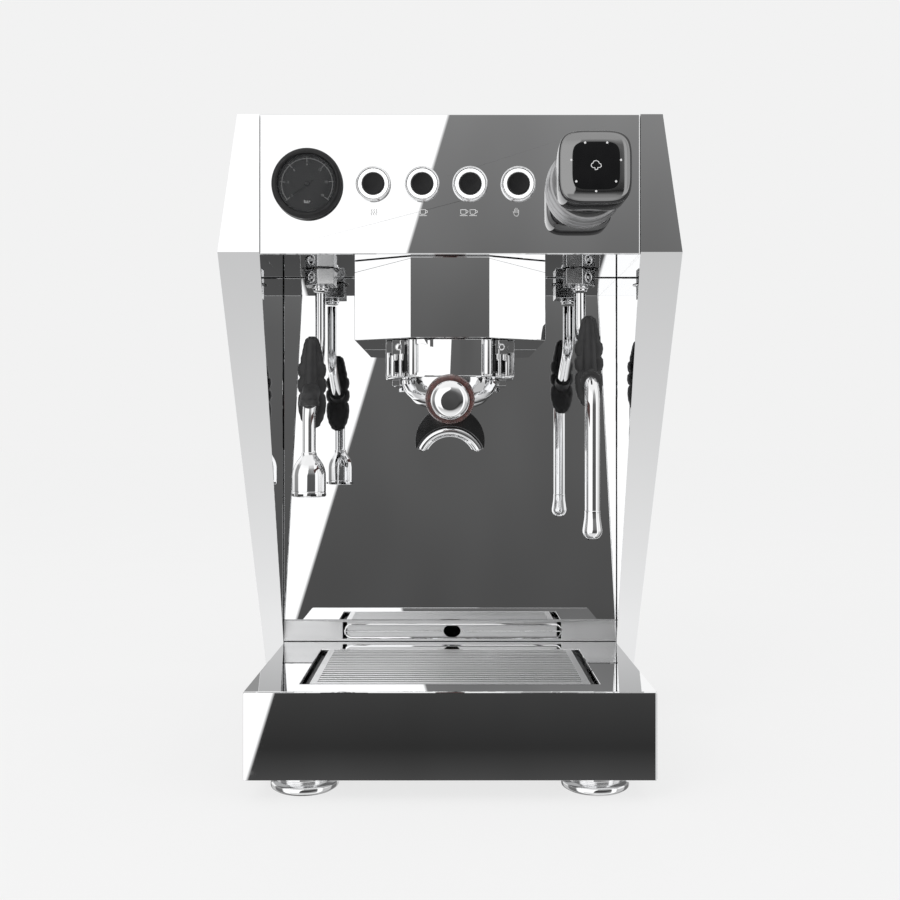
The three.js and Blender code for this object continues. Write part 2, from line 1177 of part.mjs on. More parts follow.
put(
  "pump",
  join(
    latheY(
      [
        [0, 172],
        [14, 172],
        [14, 184],
        [21, 184],
        [21, 218],
        [12, 218],
        [12, 228],
        [5, 228],
        [5, 233],
        [0, 233],
      ],
      18,
      70,
      92,
    ),
    box(52, 88, 188, 214, 66, 90),
    box(46, 94, 184, 218, 15.4, 66.4),
  ),
  MATTE_BLACK(),
);
put(
  "control_board",
  join(
    box(-64, 60, 36, 37.6, 346, 404),
    box(-50, -28, 37.4, 47, 352, 372),
    box(24, 44, 37.4, 45, 376, 396),
    box(-16, -6, 37.4, 44, 380, 396),
  ),
  mat(0x2f5d3a, 0.55, 0.1),
);
put(
  "water_tank",
  cut(
    box(-TANK.x, TANK.x, TANK.y0, TANK.y1, 15.4, 413.6),
    box(-TANK.x + 2.4, TANK.x - 2.4, TANK.y0 + 2.4, TANK.y1 - 2.4, 18, 420),
    box(-130, -74, 250, 300, 10, 92),
  ),
  mat(0xbfc8cc, 0.15, 0, { transparent: true, opacity: 0.4 }),
);
put(
  "tank_lid",
  box(-TANK.x - 0.2, TANK.x + 0.2, TANK.y0 - 1.2, 276.8, 414.6, TOP),
  BRUSHED(),
);

machine.position.y = -(Y_FRONT + Y_REAR) / 2;

export default machine;
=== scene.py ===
"""Espresso machine: looks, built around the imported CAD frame. Metres, +Z up, the front faces -Y."""

import math

import bmesh
import bpy
from mathutils import Matrix, Vector


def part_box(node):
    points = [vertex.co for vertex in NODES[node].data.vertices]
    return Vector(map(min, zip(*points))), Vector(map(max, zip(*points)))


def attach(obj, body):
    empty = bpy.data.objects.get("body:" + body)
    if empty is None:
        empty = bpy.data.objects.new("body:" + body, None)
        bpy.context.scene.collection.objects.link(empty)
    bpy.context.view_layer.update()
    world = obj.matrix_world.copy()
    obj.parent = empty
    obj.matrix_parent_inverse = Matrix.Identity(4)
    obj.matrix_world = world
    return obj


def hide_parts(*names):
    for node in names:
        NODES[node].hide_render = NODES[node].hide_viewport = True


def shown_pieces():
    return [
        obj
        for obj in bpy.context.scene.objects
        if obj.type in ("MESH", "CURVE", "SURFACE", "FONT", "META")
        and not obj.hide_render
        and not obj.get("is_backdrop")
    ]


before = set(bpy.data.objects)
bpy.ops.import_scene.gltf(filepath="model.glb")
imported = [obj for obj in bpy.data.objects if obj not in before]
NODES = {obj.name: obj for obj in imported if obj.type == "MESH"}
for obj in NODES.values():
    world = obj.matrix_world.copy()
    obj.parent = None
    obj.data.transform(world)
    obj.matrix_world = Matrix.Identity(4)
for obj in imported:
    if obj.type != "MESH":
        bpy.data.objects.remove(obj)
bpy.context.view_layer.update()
MM = 0.001
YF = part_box("fascia_panel")[0].y  # front plane of the fascia
scene = bpy.context.scene
scene.view_settings.view_transform = "Standard"
scene.view_settings.look = "None"


def P(x, y, z):
    """A point laid out in mm with y = 0 on the fascia's front plane."""
    return Vector((x * MM, YF + y * MM, z * MM))


def middle(node):
    lo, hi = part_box(node)
    return (lo + hi) / 2


# ---------------------------------------------------------------- camera
cam_data = bpy.data.cameras.new("camera")
cam_data.lens = 44.0
cam_data.sensor_width = 36.0
cam_data.shift_y = -10 / 900
cam_data.clip_start, cam_data.clip_end = 0.01, 60
cam = bpy.data.objects.new("camera", cam_data)
scene.collection.objects.link(cam)
cam.location = P(0, -698.5, 210.6)
cam.rotation_euler = (math.radians(90), 0, 0)
scene.camera = cam


# ---------------------------------------------------------------- node helpers
def srgb(h):
    """Linear value of an 8-bit grey or of an (r, g, b) triple."""
    if isinstance(h, (tuple, list)):
        return tuple(srgb(v) for v in h)
    c = h / 255
    return c / 12.92 if c <= 0.04045 else ((c + 0.055) / 1.055) ** 2.4


class Tree:
    def __init__(self, tree):
        self.t = tree
        tree.nodes.clear()

    def add(self, kind, **props):
        n = self.t.nodes.new(kind)
        for k, v in props.items():
            setattr(n, k, v)
        return n

    def put(self, socket, value):
        if isinstance(value, bpy.types.NodeSocket):
            self.t.links.new(value, socket)
        else:
            socket.default_value = value

    def math(self, op, a, b=None, c=None, clamp=False):
        n = self.add("ShaderNodeMath", operation=op, use_clamp=clamp)
        for i, v in enumerate((a, b, c)):
            if v is not None:
                self.put(n.inputs[i], v)
        return n.outputs[0]

    def ramp(self, fac, stops, interpolation="LINEAR"):
        n = self.add("ShaderNodeValToRGB")
        n.color_ramp.interpolation = interpolation
        els = n.color_ramp.elements
        while len(els) < len(stops):
            els.new(0.5)
        for e, (pos, col) in zip(els, stops):
            e.position = pos
            e.color = (*(col if isinstance(col, (tuple, list)) else (col,) * 3), 1)
        self.put(n.inputs[0], fac)
        return n.outputs[0]

    def mix(self, fac, a, b):
        n = self.add("ShaderNodeMix", data_type="RGBA")
        self.put(n.inputs[0], fac)
        for s, v in ((n.inputs[6], a), (n.inputs[7], b)):
            self.put(s, (*v, 1) if isinstance(v, (tuple, list)) and len(v) == 3 else v)
        return n.outputs[2]

    def span(self, value, a, b, lo, hi, clamp=True):
        n = self.add("ShaderNodeMapRange", clamp=clamp)
        for s, v in zip(n.inputs[:5], (value, a, b, lo, hi)):
            self.put(s, v)
        return n.outputs[0]


MATS = {}


def surface(
    name,
    base,
    tint,
    rough,
    metallic=0.0,
    scale=60.0,
    stretch=(1, 1, 1),
    bump=0.0,
    bump_scale=400.0,
    bump_stretch=(1, 1, 1),
    wave=0.0,
    wave_scale=7.0,
    scratch=0.0,
    scratch_scale=90.0,
    wear=None,
    turn=(0, 0, 0),
    **fixed,
):
    """A procedural finish: two-tone clouding, uneven roughness, fine grain, slight unflatness, hairline scratches and worn edges."""
    m = bpy.data.materials.new(name)
    m.use_nodes = True
    t = Tree(m.node_tree)
    out = t.add("ShaderNodeOutputMaterial")
    b = t.add("ShaderNodeBsdfPrincipled")
    t.put(out.inputs[0], b.outputs[0])
    b.inputs["Metallic"].default_value = metallic
    for k, v in fixed.items():
        b.inputs[k.replace("_", " ")].default_value = v
    coord = t.add("ShaderNodeTexCoord").outputs["Object"]

    def noise(sc, st, detail=4.0, rot=turn):
        mp = t.add("ShaderNodeMapping")
        t.put(mp.inputs["Vector"], coord)
        mp.inputs["Rotation"].default_value = rot
        mp.inputs["Scale"].default_value = st
        n = t.add("ShaderNodeTexNoise")
        t.put(n.inputs["Vector"], mp.outputs[0])
        n.inputs["Scale"].default_value = sc
        n.inputs["Detail"].default_value = detail
        return n.outputs[0]

    cloud = noise(scale, stretch)
    colour = t.mix(t.span(cloud, 0.3, 0.7, 0, 1), base, tint)
    if wear:
        point = t.add("ShaderNodeNewGeometry").outputs["Pointiness"]
        edge = t.math("MULTIPLY", t.span(point, 0.52, 0.62, 0, 1), t.span(noise(300, (1, 1, 1)), 0.4, 0.65, 0, 0.8))
        colour = t.mix(edge, colour, wear)
    t.put(b.inputs["Base Color"], colour)
    r = t.span(noise(scale * 2.3, stretch, 6.0), 0.3, 0.7, rough[0], rough[1])
    height = None
    if scratch:
        lines = None
        for k, (rot, st) in enumerate((((0.2, 0.5, 0.4), (1, 0.015, 1)), ((0.9, -0.3, 1.3), (0.02, 1, 1)), ((0.4, 1.1, -0.6), (1, 1, 0.018)))):
            n = t.span(noise(scratch_scale * (1 + 0.37 * k), st, 2.0, rot), 0.70, 0.76, 0, 1)
            lines = n if lines is None else t.math("MAXIMUM", lines, n)
        r = t.math("ADD", r, t.math("MULTIPLY", lines, scratch), clamp=True)
    t.put(b.inputs["Roughness"], r)
    normal = None
    if wave:
        bn = t.add("ShaderNodeBump")
        bn.inputs["Strength"].default_value = 1.0
        bn.inputs["Distance"].default_value = wave
        t.put(bn.inputs["Height"], noise(wave_scale, (1, 1, 1), 1.0))
        normal = bn.outputs[0]
    if bump:
        bn = t.add("ShaderNodeBump")
        bn.inputs["Strength"].default_value = 1.0
        bn.inputs["Distance"].default_value = bump
        t.put(bn.inputs["Height"], noise(bump_scale, bump_stretch, 3.0))
        if normal is not None:
            t.put(bn.inputs["Normal"], normal)
        normal = bn.outputs[0]
    if normal is not None:
        t.put(b.inputs["Normal"], normal)
    MATS[name] = m
    return m


surface("mirror_steel", (0.95, 0.953, 0.957), (0.935, 0.938, 0.945), (0.002, 0.012), 1.0, scale=9, wave=0.000009, wave_scale=5.0, scratch=0.010)
surface("brushed_steel", (0.66, 0.665, 0.67), (0.61, 0.615, 0.62), (0.24, 0.32), 1.0, scale=380, stretch=(0.03, 1, 1), bump=0.0000012, bump_scale=2600, bump_stretch=(0.02, 1, 1), scratch=0.03, scratch_scale=120)
surface("swivel_steel", (0.78, 0.784, 0.79), (0.72, 0.724, 0.73), (0.20, 0.27), 1.0, scale=120, bump=0.000001, bump_scale=1800, scratch=0.03, scratch_scale=200)
surface("satin_base", (0.80, 0.804, 0.81), (0.75, 0.755, 0.76), (0.10, 0.16), 1.0, scale=300, stretch=(1, 0.03, 1), bump=0.0000008, bump_scale=2400, bump_stretch=(1, 0.02, 1), scratch=0.02, scratch_scale=120)
surface("grid_steel", (0.90, 0.903, 0.907), (0.85, 0.853, 0.857), (0.33, 0.43), 1.0, scale=60, stretch=(0.06, 1, 1), bump=0.000003, bump_scale=1100, bump_stretch=(0.03, 1, 1), scratch=0.1)
surface("chrome", (0.95, 0.953, 0.957), (0.93, 0.933, 0.94), (0.004, 0.018), 1.0, scale=25, wave=0.000006, wave_scale=22, scratch=0.04, scratch_scale=150)
surface("satin_steel", (0.46, 0.46, 0.465), (0.40, 0.40, 0.405), (0.36, 0.46), 1.0, scale=80, stretch=(1, 0.08, 1), bump=0.000003, bump_scale=1400, bump_stretch=(1, 0.04, 1))
surface("black_gloss", (0.006, 0.006, 0.007), (0.011, 0.011, 0.012), (0.04, 0.09), scale=120, bump=0.0000012, bump_scale=1500, scratch=0.08, scratch_scale=160, wear=(0.03, 0.03, 0.031), Coat_Weight=0.4, Coat_Roughness=0.03, IOR=1.5)
surface("black_plastic", (0.017, 0.017, 0.018), (0.026, 0.026, 0.027), (0.42, 0.55), scale=150, bump=0.00004, bump_scale=2600, wear=(0.06, 0.06, 0.062))
surface("silicone", (0.009, 0.009, 0.0095), (0.017, 0.017, 0.018), (0.44, 0.58), scale=110, bump=0.00003, bump_scale=2200, wear=(0.05, 0.05, 0.05), Sheen_Weight=0.05)
surface("dial", (0.020, 0.020, 0.0205), (0.026, 0.026, 0.0265), (0.55, 0.7), scale=200, bump=0.00001, bump_scale=4000)
# black finish for bezels, sleeves and the knob neck, also used as painted shade inside holes, slots and the group's
# recess
surface("bezel_black", (0.010, 0.010, 0.0105), (0.016, 0.016, 0.0165), (0.26, 0.36), scale=160, bump=0.000006, bump_scale=3000, wear=(0.03, 0.03, 0.031), IOR=1.36)
surface("print_white", (0.72, 0.72, 0.72), (0.60, 0.60, 0.60), (0.4, 0.55), scale=700, bump=0.00001, bump_scale=5000)
surface("print_grey", (0.32, 0.32, 0.32), (0.24, 0.24, 0.24), (0.4, 0.55), scale=700, bump=0.00001, bump_scale=5000)
surface("brass", (0.68, 0.47, 0.20), (0.60, 0.40, 0.17), (0.22, 0.38), 1.0, scale=60, bump=0.000004, bump_scale=900, scratch=0.12)
surface("copper", (0.72, 0.38, 0.23), (0.55, 0.27, 0.16), (0.22, 0.4), 1.0, scale=45, bump=0.000004, bump_scale=900)
surface("board", (0.02, 0.09, 0.04), (0.03, 0.12, 0.05), (0.35, 0.5), scale=260, stretch=(1, 1, 0.2), bump=0.00003, bump_scale=1600)
surface("tank", (0.70, 0.74, 0.76), (0.62, 0.66, 0.68), (0.08, 0.2), scale=30, bump=0.000006, bump_scale=300, Transmission_Weight=0.75, IOR=1.45)
surface("lens", (0.03, 0.032, 0.034), (0.05, 0.052, 0.054), (0.0, 0.012), scale=60, scratch=0.02, scratch_scale=300, Alpha=0.16, IOR=1.4)
# knob face: the border reflects far more strongly (painted highlight) and the middle less (painted shade) than the rest
# of the black cap
surface("knob_painted_highlight_border", (0.005, 0.005, 0.0055), (0.008, 0.008, 0.0085), (0.03, 0.07), scale=120, bump=0.000001, bump_scale=1500, scratch=0.06, scratch_scale=160, wear=(0.03, 0.03, 0.031), IOR=3.3)
surface("knob_painted_shade_middle", (0.004, 0.004, 0.0045), (0.006, 0.006, 0.0065), (0.03, 0.08), scale=120, bump=0.000001, bump_scale=1500, scratch=0.06, scratch_scale=160, wear=(0.02, 0.02, 0.021), IOR=1.38)
# dark steel for the spout body: painted shade in place of the chrome's dark reflections
surface("dark_steel", (0.17, 0.17, 0.173), (0.12, 0.12, 0.123), (0.07, 0.13), 1.0, scale=70, bump=0.000001, bump_scale=900, scratch=0.05)
surface("button_black", (0.006, 0.006, 0.0065), (0.010, 0.010, 0.0105), (0.34, 0.44), scale=220, bump=0.000008, bump_scale=3500, wear=(0.03, 0.03, 0.03), IOR=1.35)

# oiled hardwood: long grain along the handle, darker pores
m = bpy.data.materials.new("wood")
m.use_nodes = True
t = Tree(m.node_tree)
out = t.add("ShaderNodeOutputMaterial")
b = t.add("ShaderNodeBsdfPrincipled")
t.put(out.inputs[0], b.outputs[0])
coord = t.add("ShaderNodeTexCoord").outputs["Object"]
mp = t.add("ShaderNodeMapping")
t.put(mp.inputs[0], coord)
mp.inputs["Rotation"].default_value = (-math.radians(5.9), 0, 0)
mp.inputs["Scale"].default_value = (1, 0.07, 1)
warp = t.add("ShaderNodeTexNoise")
t.put(warp.inputs["Vector"], mp.outputs[0])
warp.inputs["Scale"].default_value = 90
warp.inputs["Detail"].default_value = 6
grain = t.add("ShaderNodeTexNoise")
t.put(grain.inputs["Vector"], mp.outputs[0])
grain.inputs["Scale"].default_value = 520
grain.inputs["Detail"].default_value = 5
rings = t.math("SINE", t.math("MULTIPLY", warp.outputs[0], 42.0))
figure = t.span(rings, -1, 1, 0, 1)
body_colour = t.mix(figure, (0.082, 0.022, 0.017), (0.044, 0.012, 0.0095))
pores = t.span(grain.outputs[0], 0.56, 0.66, 0, 1)
t.put(b.inputs["Base Color"], t.mix(pores, body_colour, (0.026, 0.008, 0.006)))
t.put(b.inputs["Roughness"], t.span(grain.outputs[0], 0.3, 0.7, 0.30, 0.46))
b.inputs["Coat Weight"].default_value = 0.25
b.inputs["Coat Roughness"].default_value = 0.25
bn = t.add("ShaderNodeBump")
bn.inputs["Distance"].default_value = 0.00005
t.put(bn.inputs["Height"], grain.outputs[0])
t.put(b.inputs["Normal"], bn.outputs[0])
MATS["wood"] = m

# light guide round each button: white plastic lit from behind, a little uneven
m = bpy.data.materials.new("lit_ring")
m.use_nodes = True
t = Tree(m.node_tree)
out = t.add("ShaderNodeOutputMaterial")
b = t.add("ShaderNodeBsdfPrincipled")
t.put(out.inputs[0], b.outputs[0])
n = t.add("ShaderNodeTexNoise")
t.put(n.inputs["Vector"], t.add("ShaderNodeTexCoord").outputs["Object"])
n.inputs["Scale"].default_value = 320
glow = t.ramp(n.outputs[0], [(0.3, (0.93, 0.94, 0.95)), (0.7, (1.0, 1.0, 1.0))])
t.put(b.inputs["Base Color"], glow)
t.put(b.inputs["Emission Color"], glow)
b.inputs["Emission Strength"].default_value = 0.35
t.put(b.inputs["Roughness"], t.span(n.outputs[0], 0.3, 0.7, 0.3, 0.45))
MATS["lit_ring"] = m

# ---------------------------------------------------------------- world: a plain studio, white panel on one side, grey backdrop on the other
world = bpy.data.worlds.new("studio")
scene.world = world
world.use_nodes = True
t = Tree(world.node_tree)
out = t.add("ShaderNodeOutputWorld")
gen = t.add("ShaderNodeTexCoord").outputs["Generated"]
sep = t.add("ShaderNodeSeparateXYZ")
t.put(sep.inputs[0], gen)
dx, dy, dz = sep.outputs
flat = t.math("SQRT", t.math("ADD", t.math("MULTIPLY", dx, dx), t.math("MULTIPLY", dy, dy)))
elev = t.math("DIVIDE", dz, t.math("MAXIMUM", flat, 1e-4))
az = t.math("ARCTAN2", dx, t.math("MULTIPLY", dy, -1.0))
level = t.math("DIVIDE", dz, t.math("MAXIMUM", t.math("ABSOLUTE", dy), t.math("MULTIPLY", flat, 0.6)))
e = t.math("MINIMUM", t.math("MAXIMUM", level, -0.5), 0.5)
edge = t.math("ADD", -0.09, t.math("MULTIPLY", e, 0.3))
lit_left = t.span(t.math("SUBTRACT", az, edge), -0.0015, 0.0015, 1, 0)
# grey backdrop beside the white panel: darker low down, lighter towards the top
room = t.ramp(
    t.math("ADD", e, 0.5),
    [(0.0, (0.30,) * 3), (0.22, (0.03,) * 3), (0.35, (0.08,) * 3), (0.60, (0.12,) * 3), (1.0, (0.35,) * 3)],
)
# uneven tone along the horizontal bands
drift = t.add("ShaderNodeTexNoise")
mpw = t.add("ShaderNodeMapping")
mpw.inputs["Scale"].default_value = (4.5, 1, 2.2)
t.put(mpw.inputs[0], gen)
t.put(drift.inputs["Vector"], mpw.outputs[0])
drift.inputs["Scale"].default_value = 3.0
drift.inputs["Detail"].default_value = 1.0
room = t.mix(t.span(drift.outputs[0], 0.35, 0.7, 0, 0.30), room, t.mix(0.5, room, (0.02, 0.019, 0.018)))
front = t.mix(lit_left, room, (1.12, 1.12, 1.12))
# steep downward rays: pale floor
floor_col = t.span(elev, -0.5, -1.2, 0.55, 0.85)
down = t.span(elev, -0.42, -0.58, 0, 1)
front = t.mix(down, front, floor_col)
up = t.span(elev, 0.55, 1.1, 0, 1)
front = t.mix(up, front, (0.92, 0.92, 0.92))
# to the sides and behind: white panels with soft grey gaps between them
side_wave = t.span(t.math("SINE", t.math("MULTIPLY", az, 5.0)), -0.2, 0.35, 0.30, 0.97)
side_low = t.span(e, -0.35, 0.02, 0.55, 1.0)
side = t.math("MULTIPLY", side_wave, side_low)
abs_az = t.math("ABSOLUTE", az)
near_white = t.span(abs_az, 1.16, 1.30, 1, 0)
side = t.mix(near_white, side, (1.12, 1.12, 1.12))
side = t.mix(up, side, (0.95, 0.95, 0.95))
glossy_view = t.mix(t.span(abs_az, 0.84, 0.90, 0, 1), front, side)
path = t.add("ShaderNodeLightPath")
soft = t.span(dz, -1, 1, 0.62, 1.0)
light = t.mix(path.outputs["Is Glossy Ray"], soft, glossy_view)
final = t.mix(path.outputs["Is Camera Ray"], light, (srgb(0xF2),) * 3)
bg = t.add("ShaderNodeBackground")
t.put(bg.inputs["Color"], final)
bg.inputs["Strength"].default_value = 1.0
t.put(out.inputs[0], bg.outputs[0])


def area(name, loc, target, size, power):
    d = bpy.data.lights.new(name, "AREA")
    d.shape = "RECTANGLE"
    d.size, d.size_y, d.energy = size[0], size[1], power
    o = bpy.data.objects.new(name, d)
    scene.collection.objects.link(o)
    o.location = loc
    o.rotation_euler = (Vector(target) - Vector(loc)).to_track_quat("-Z", "Y").to_euler()
    o.visible_glossy = False
    return o


area("key", (-0.9, -1.3, 1.3), (0, 0, 0.2), (1.0, 1.0), 9)
area("fill", (1.2, -1.0, 0.8), (0, 0, 0.2), (1.0, 1.0), 3)

# ---------------------------------------------------------------- floor
bm = bmesh.new()
vs = [bm.verts.new((x, y, 0)) for x, y in ((-14, -6), (14, -6), (14, 22), (-14, 22))]
bm.faces.new(vs)
me = bpy.data.meshes.new("floor")
bm.to_mesh(me)
bm.free()
floor = bpy.data.objects.new("floor", me)
scene.collection.objects.link(floor)
m = bpy.data.materials.new("floor")
m.use_nodes = True
t = Tree(m.node_tree)
out = t.add("ShaderNodeOutputMaterial")
b = t.add("ShaderNodeBsdfPrincipled")
t.put(out.inputs[0], b.outputs[0])
n = t.add("ShaderNodeTexNoise")
t.put(n.inputs["Vector"], t.add("ShaderNodeTexCoord").outputs["Object"])
n.inputs["Scale"].default_value = 8
t.put(b.inputs["Base Color"], t.ramp(n.outputs[0], [(0.2, (0.158,) * 3), (0.8, (0.162,) * 3)]))
b.inputs["Roughness"].default_value = 1.0
b.inputs["Specular IOR Level"].default_value = 0.0
b.inputs["Emission Color"].default_value = (1, 1, 1, 1)
b.inputs["Emission Strength"].default_value = 0.735
floor.data.materials.append(m)
floor.visible_glossy = False
floor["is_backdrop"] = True


# ---------------------------------------------------------------- mesh helpers
def make(name, bm, mats, body, nodes=(), bevel=0.0, angle=30.0, segments=3):
    bmesh.ops.remove_doubles(bm, verts=bm.verts, dist=2e-7)
    bmesh.ops.recalc_face_normals(bm, faces=bm.faces)
    me = bpy.data.meshes.new(name)
    bm.to_mesh(me)
    bm.free()
    for p in me.polygons:
        p.use_smooth = True
    me.set_sharp_from_angle(angle=math.radians(angle))
    ob = bpy.data.objects.new(name, me)
    scene.collection.objects.link(ob)
    for s in [mats] if isinstance(mats, str) else mats:
        me.materials.append(MATS[s])
    if bevel:
        mod = ob.modifiers.new("edge", "BEVEL")
        mod.width = bevel * MM
        mod.segments = segments
        mod.limit_method = "ANGLE"
        mod.angle_limit = math.radians(angle)
        mod.harden_normals = True
    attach(ob, body)
    if nodes:
        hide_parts(*nodes)
    return ob


def soften(profile, r, n=4):
    """Rounds a profile's inner corners; a pair on the axis stays."""
    out = [profile[0]]
    for i in range(1, len(profile) - 1):
        a, b_, c = (Vector(p) for p in (profile[i - 1], profile[i], profile[i + 1]))
        u, v = a - b_, c - b_
        if u.length < 1e-9 or v.length < 1e-9:
            continue
        k = min(r, u.length * 0.45, v.length * 0.45)
        if u.angle(v) > math.radians(176):
            out.append(tuple(b_))
            continue
        p0, p1 = b_ + u.normalized() * k, b_ + v.normalized() * k
        for j in range(n + 1):
            s = j / n
            out.append(tuple(p0 * (1 - s) ** 2 + b_ * 2 * s * (1 - s) + p1 * s * s))
    out.append(profile[-1])
    return out


def lathe(profile, origin, axis, segs=96, closed=False, bm=None, mat=0):
    bm = bm or bmesh.new()
    z = Vector(axis).normalized()
    x = z.orthogonal().normalized()
    if abs(z.z) > 0.9:
        x = Vector((1, 0, 0))
        x = (x - z * x.dot(z)).normalized()
    y = z.cross(x)
    rings = []
    for r, s in profile:
        c = origin + z * s * MM
        if r < 1e-6:
            rings.append([bm.verts.new(c)])
        else:
            rings.append(
                [
                    bm.verts.new(c + (x * math.cos(k * 2 * math.pi / segs) + y * math.sin(k * 2 * math.pi / segs)) * r * MM)
                    for k in range(segs)
                ]
            )
    pairs = list(zip(rings, rings[1:])) + ([(rings[-1], rings[0])] if closed else [])
    for a, c in pairs:
        if len(a) == 1 and len(c) == 1:
            continue
        for k in range(segs):
            j = (k + 1) % segs
            f = [a[k % len(a)], a[j % len(a)], c[j % len(c)], c[k % len(c)]]
            f = list(dict.fromkeys(f))
            face = bm.faces.new(f)
            face.material_index = mat
    return bm


def loft(rings, bm=None, caps=True, mat=0):
    """Rings of points with the same count, joined in order."""
    bm = bm or bmesh.new()
    rv = [[bm.verts.new(p) for p in ring] for ring in rings]
    n = len(rv[0])
    for a, c in zip(rv, rv[1:]):
        for k in range(n):
            j = (k + 1) % n
            bm.faces.new((a[k], a[j], c[j], c[k])).material_index = mat
    if caps:
        bm.faces.new(rv[0]).material_index = mat
        bm.faces.new(rv[-1]).material_index = mat
    return bm


def prism_xz(points, y0, y1, bm=None, mat=0):
    return loft([[P(x, y, z) for x, z in points] for y in (y0, y1)], bm, mat=mat)


def prism_xy(points, z0, z1, bm=None, mat=0):
    return loft([[P(x, y, z) for x, y in points] for z in (z0, z1)], bm, mat=mat)


def block(x0, x1, y0, y1, z0, z1, bm=None, mat=0):
    return prism_xy([(x0, y0), (x1, y0), (x1, y1), (x0, y1)], z0, z1, bm, mat)


def rounded_path(points, radius, n=10):
    out = [points[0]]
    for a, b_, c in zip(points, points[1:], points[2:]):
        u, v = a - b_, c - b_
        k = min(radius * MM, u.length * 0.49, v.length * 0.49)
        p0, p1 = b_ + u.normalized() * k, b_ + v.normalized() * k
        for j in range(n + 1):
            s = j / n
            out.append(p0 * (1 - s) ** 2 + b_ * 2 * s * (1 - s) + p1 * s * s)
    out.append(points[-1])
    return out


def tube(points, radii, segs=40, bm=None, squash_y=1.0, mat=0):
    """A round bar along points; radii in mm, one number or one for each point."""
    bm = bm or bmesh.new()
    n = len(points)
    if not isinstance(radii, (list, tuple)):
        radii = [radii] * n
    tangents = []
    for i in range(n):
        a, c = points[max(0, i - 1)], points[min(n - 1, i + 1)]
        tangents.append((c - a).normalized())
    side = tangents[0].orthogonal().normalized()
    rings = []
    for i in range(n):
        tg = tangents[i]
        side = (side - tg * side.dot(tg)).normalized()
        other = tg.cross(side)
        ring = []
        for k in range(segs):
            a = 2 * math.pi * k / segs
            off = (side * math.cos(a) + other * math.sin(a)) * radii[i] * MM
            off.y *= squash_y
            ring.append(points[i] + off)
        rings.append(ring)
    return loft(rings, bm, mat=mat)


def stroke(points, width, y, bm, closed=False):
    """A printed or raised line drawn in the front plane; points in mm as (x, z)."""
    pts = [P(a, y, c) for a, c in points]
    if closed:
        pts.append(pts[0].copy())
    for a, c in zip(pts, pts[1:]):
        d = (c - a).normalized() * width * MM * 0.35
        tube([a - d, c + d], width / 2, 10, bm, 0.5)
    return bm


def arc(cx, cz, r, a0, a1, n):
    return [
        (cx + r * math.cos(math.radians(a0 + (a1 - a0) * i / n)), cz + r * math.sin(math.radians(a0 + (a1 - a0) * i / n)))
        for i in range(n + 1)
    ]


def lettering(name, text, size, x, y, z, mat, body):
    """Small generic figures facing the front, as a mesh."""
    c = bpy.data.curves.new(name + "_curve", "FONT")
    c.body = text
    c.size = size * MM
    c.extrude = 0.00006
    c.align_x = "CENTER"
    c.align_y = "CENTER"
    tmp = bpy.data.objects.new(name + "_tmp", c)
    scene.collection.objects.link(tmp)
    bpy.context.view_layer.update()
    me = bpy.data.meshes.new_from_object(tmp.evaluated_get(bpy.context.evaluated_depsgraph_get()))
    bpy.data.objects.remove(tmp)
    me.transform(Matrix.Translation(P(x, y, z)) @ Matrix.Rotation(math.radians(90), 4, "X"))
    me.name = name
    ob = bpy.data.objects.new(name, me)
    scene.collection.objects.link(ob)
    me.materials.clear()
    me.materials.append(MATS[mat])
    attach(ob, body)
    return ob


UP, OUT = Vector((0, 0, 1)), Vector((0, -1, 0))

# ---------------------------------------------------------------- carried-over CAD nodes: finish and small edge radii
FINISH = {
    "mirror_steel": "side_panel_left side_panel_right inner_wall_left inner_wall_right base_front_panel deck_plate splash_panel fascia_panel head_floor group_hood",
    "satin_base": "base_chassis",
    "brushed_steel": "top_cover rear_panel tank_lid shower_screen filter_basket",
    "grid_steel": "drip_grid drain_strip",
    "black_plastic": "drip_pan mains_inlet pump solenoid_valve",
    "black_gloss": "power_rocker",
    "silicone": "group_gasket",
    "brass": "boiler steam_valve",
    "copper": "brew_pipe",
    "board": "control_board",
    "tank": "water_tank",
}
EDGE = {
    "side_panel_left": 0.9,
    "side_panel_right": 0.9,
    "inner_wall_left": 0.12,
    "inner_wall_right": 0.12,
    "base_front_panel": 0.9,
    "deck_plate": 0.5,
    "splash_panel": 0.3,
    "fascia_panel": 1.0,
    "head_floor": 0.1,
    "group_hood": 0.35,
    "base_chassis": 0.5,
    "top_cover": 0.5,
    "rear_panel": 0.4,
    "tank_lid": 0.6,
    "drip_grid": 0.45,
    "drain_strip": 0.3,
    "drip_pan": 0.6,
    "mains_inlet": 0.5,
    "power_rocker": 0.5,
    "water_tank": 0.8,
    "pump": 1.0,
    "solenoid_valve": 0.8,
    "control_board": 0.2,
}
for finish, names in FINISH.items():
    for name in names.split():
        ob = NODES[name]
        ob.data.materials.clear()
        ob.data.materials.append(MATS[finish])
        weld = ob.modifiers.new("weld", "WELD")
        weld.merge_threshold = 0.000002
        if name in EDGE:
            mod = ob.modifiers.new("edge", "BEVEL")
            mod.width = EDGE[name] * MM
            mod.segments = 2 if EDGE[name] >= 0.9 else 3
            mod.limit_method = "ANGLE"
            mod.angle_limit = math.radians(34)
            mod.use_clamp_overlap = True

# ---------------------------------------------------------------- feet
for node in ("foot_front_left", "foot_front_right", "foot_rear_left", "foot_rear_right"):
    c = middle(node)
    h = (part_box(node)[1].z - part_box(node)[0].z) / MM
    prof = soften([(0, 0), (17.4, 0), (20.5, 1.9), (20.5, 4.9), (18.0, 6.6), (17.0, 6.9), (17.0, 7.6), (18.2, 8.2), (18.2, h - 0.5), (17.7, h), (0, h)], 1.0)
    make(node.replace("foot", "levelling_foot"), lathe(prof, Vector((c.x, c.y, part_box(node)[0].z)), UP, 96), "chrome", "body", [node])

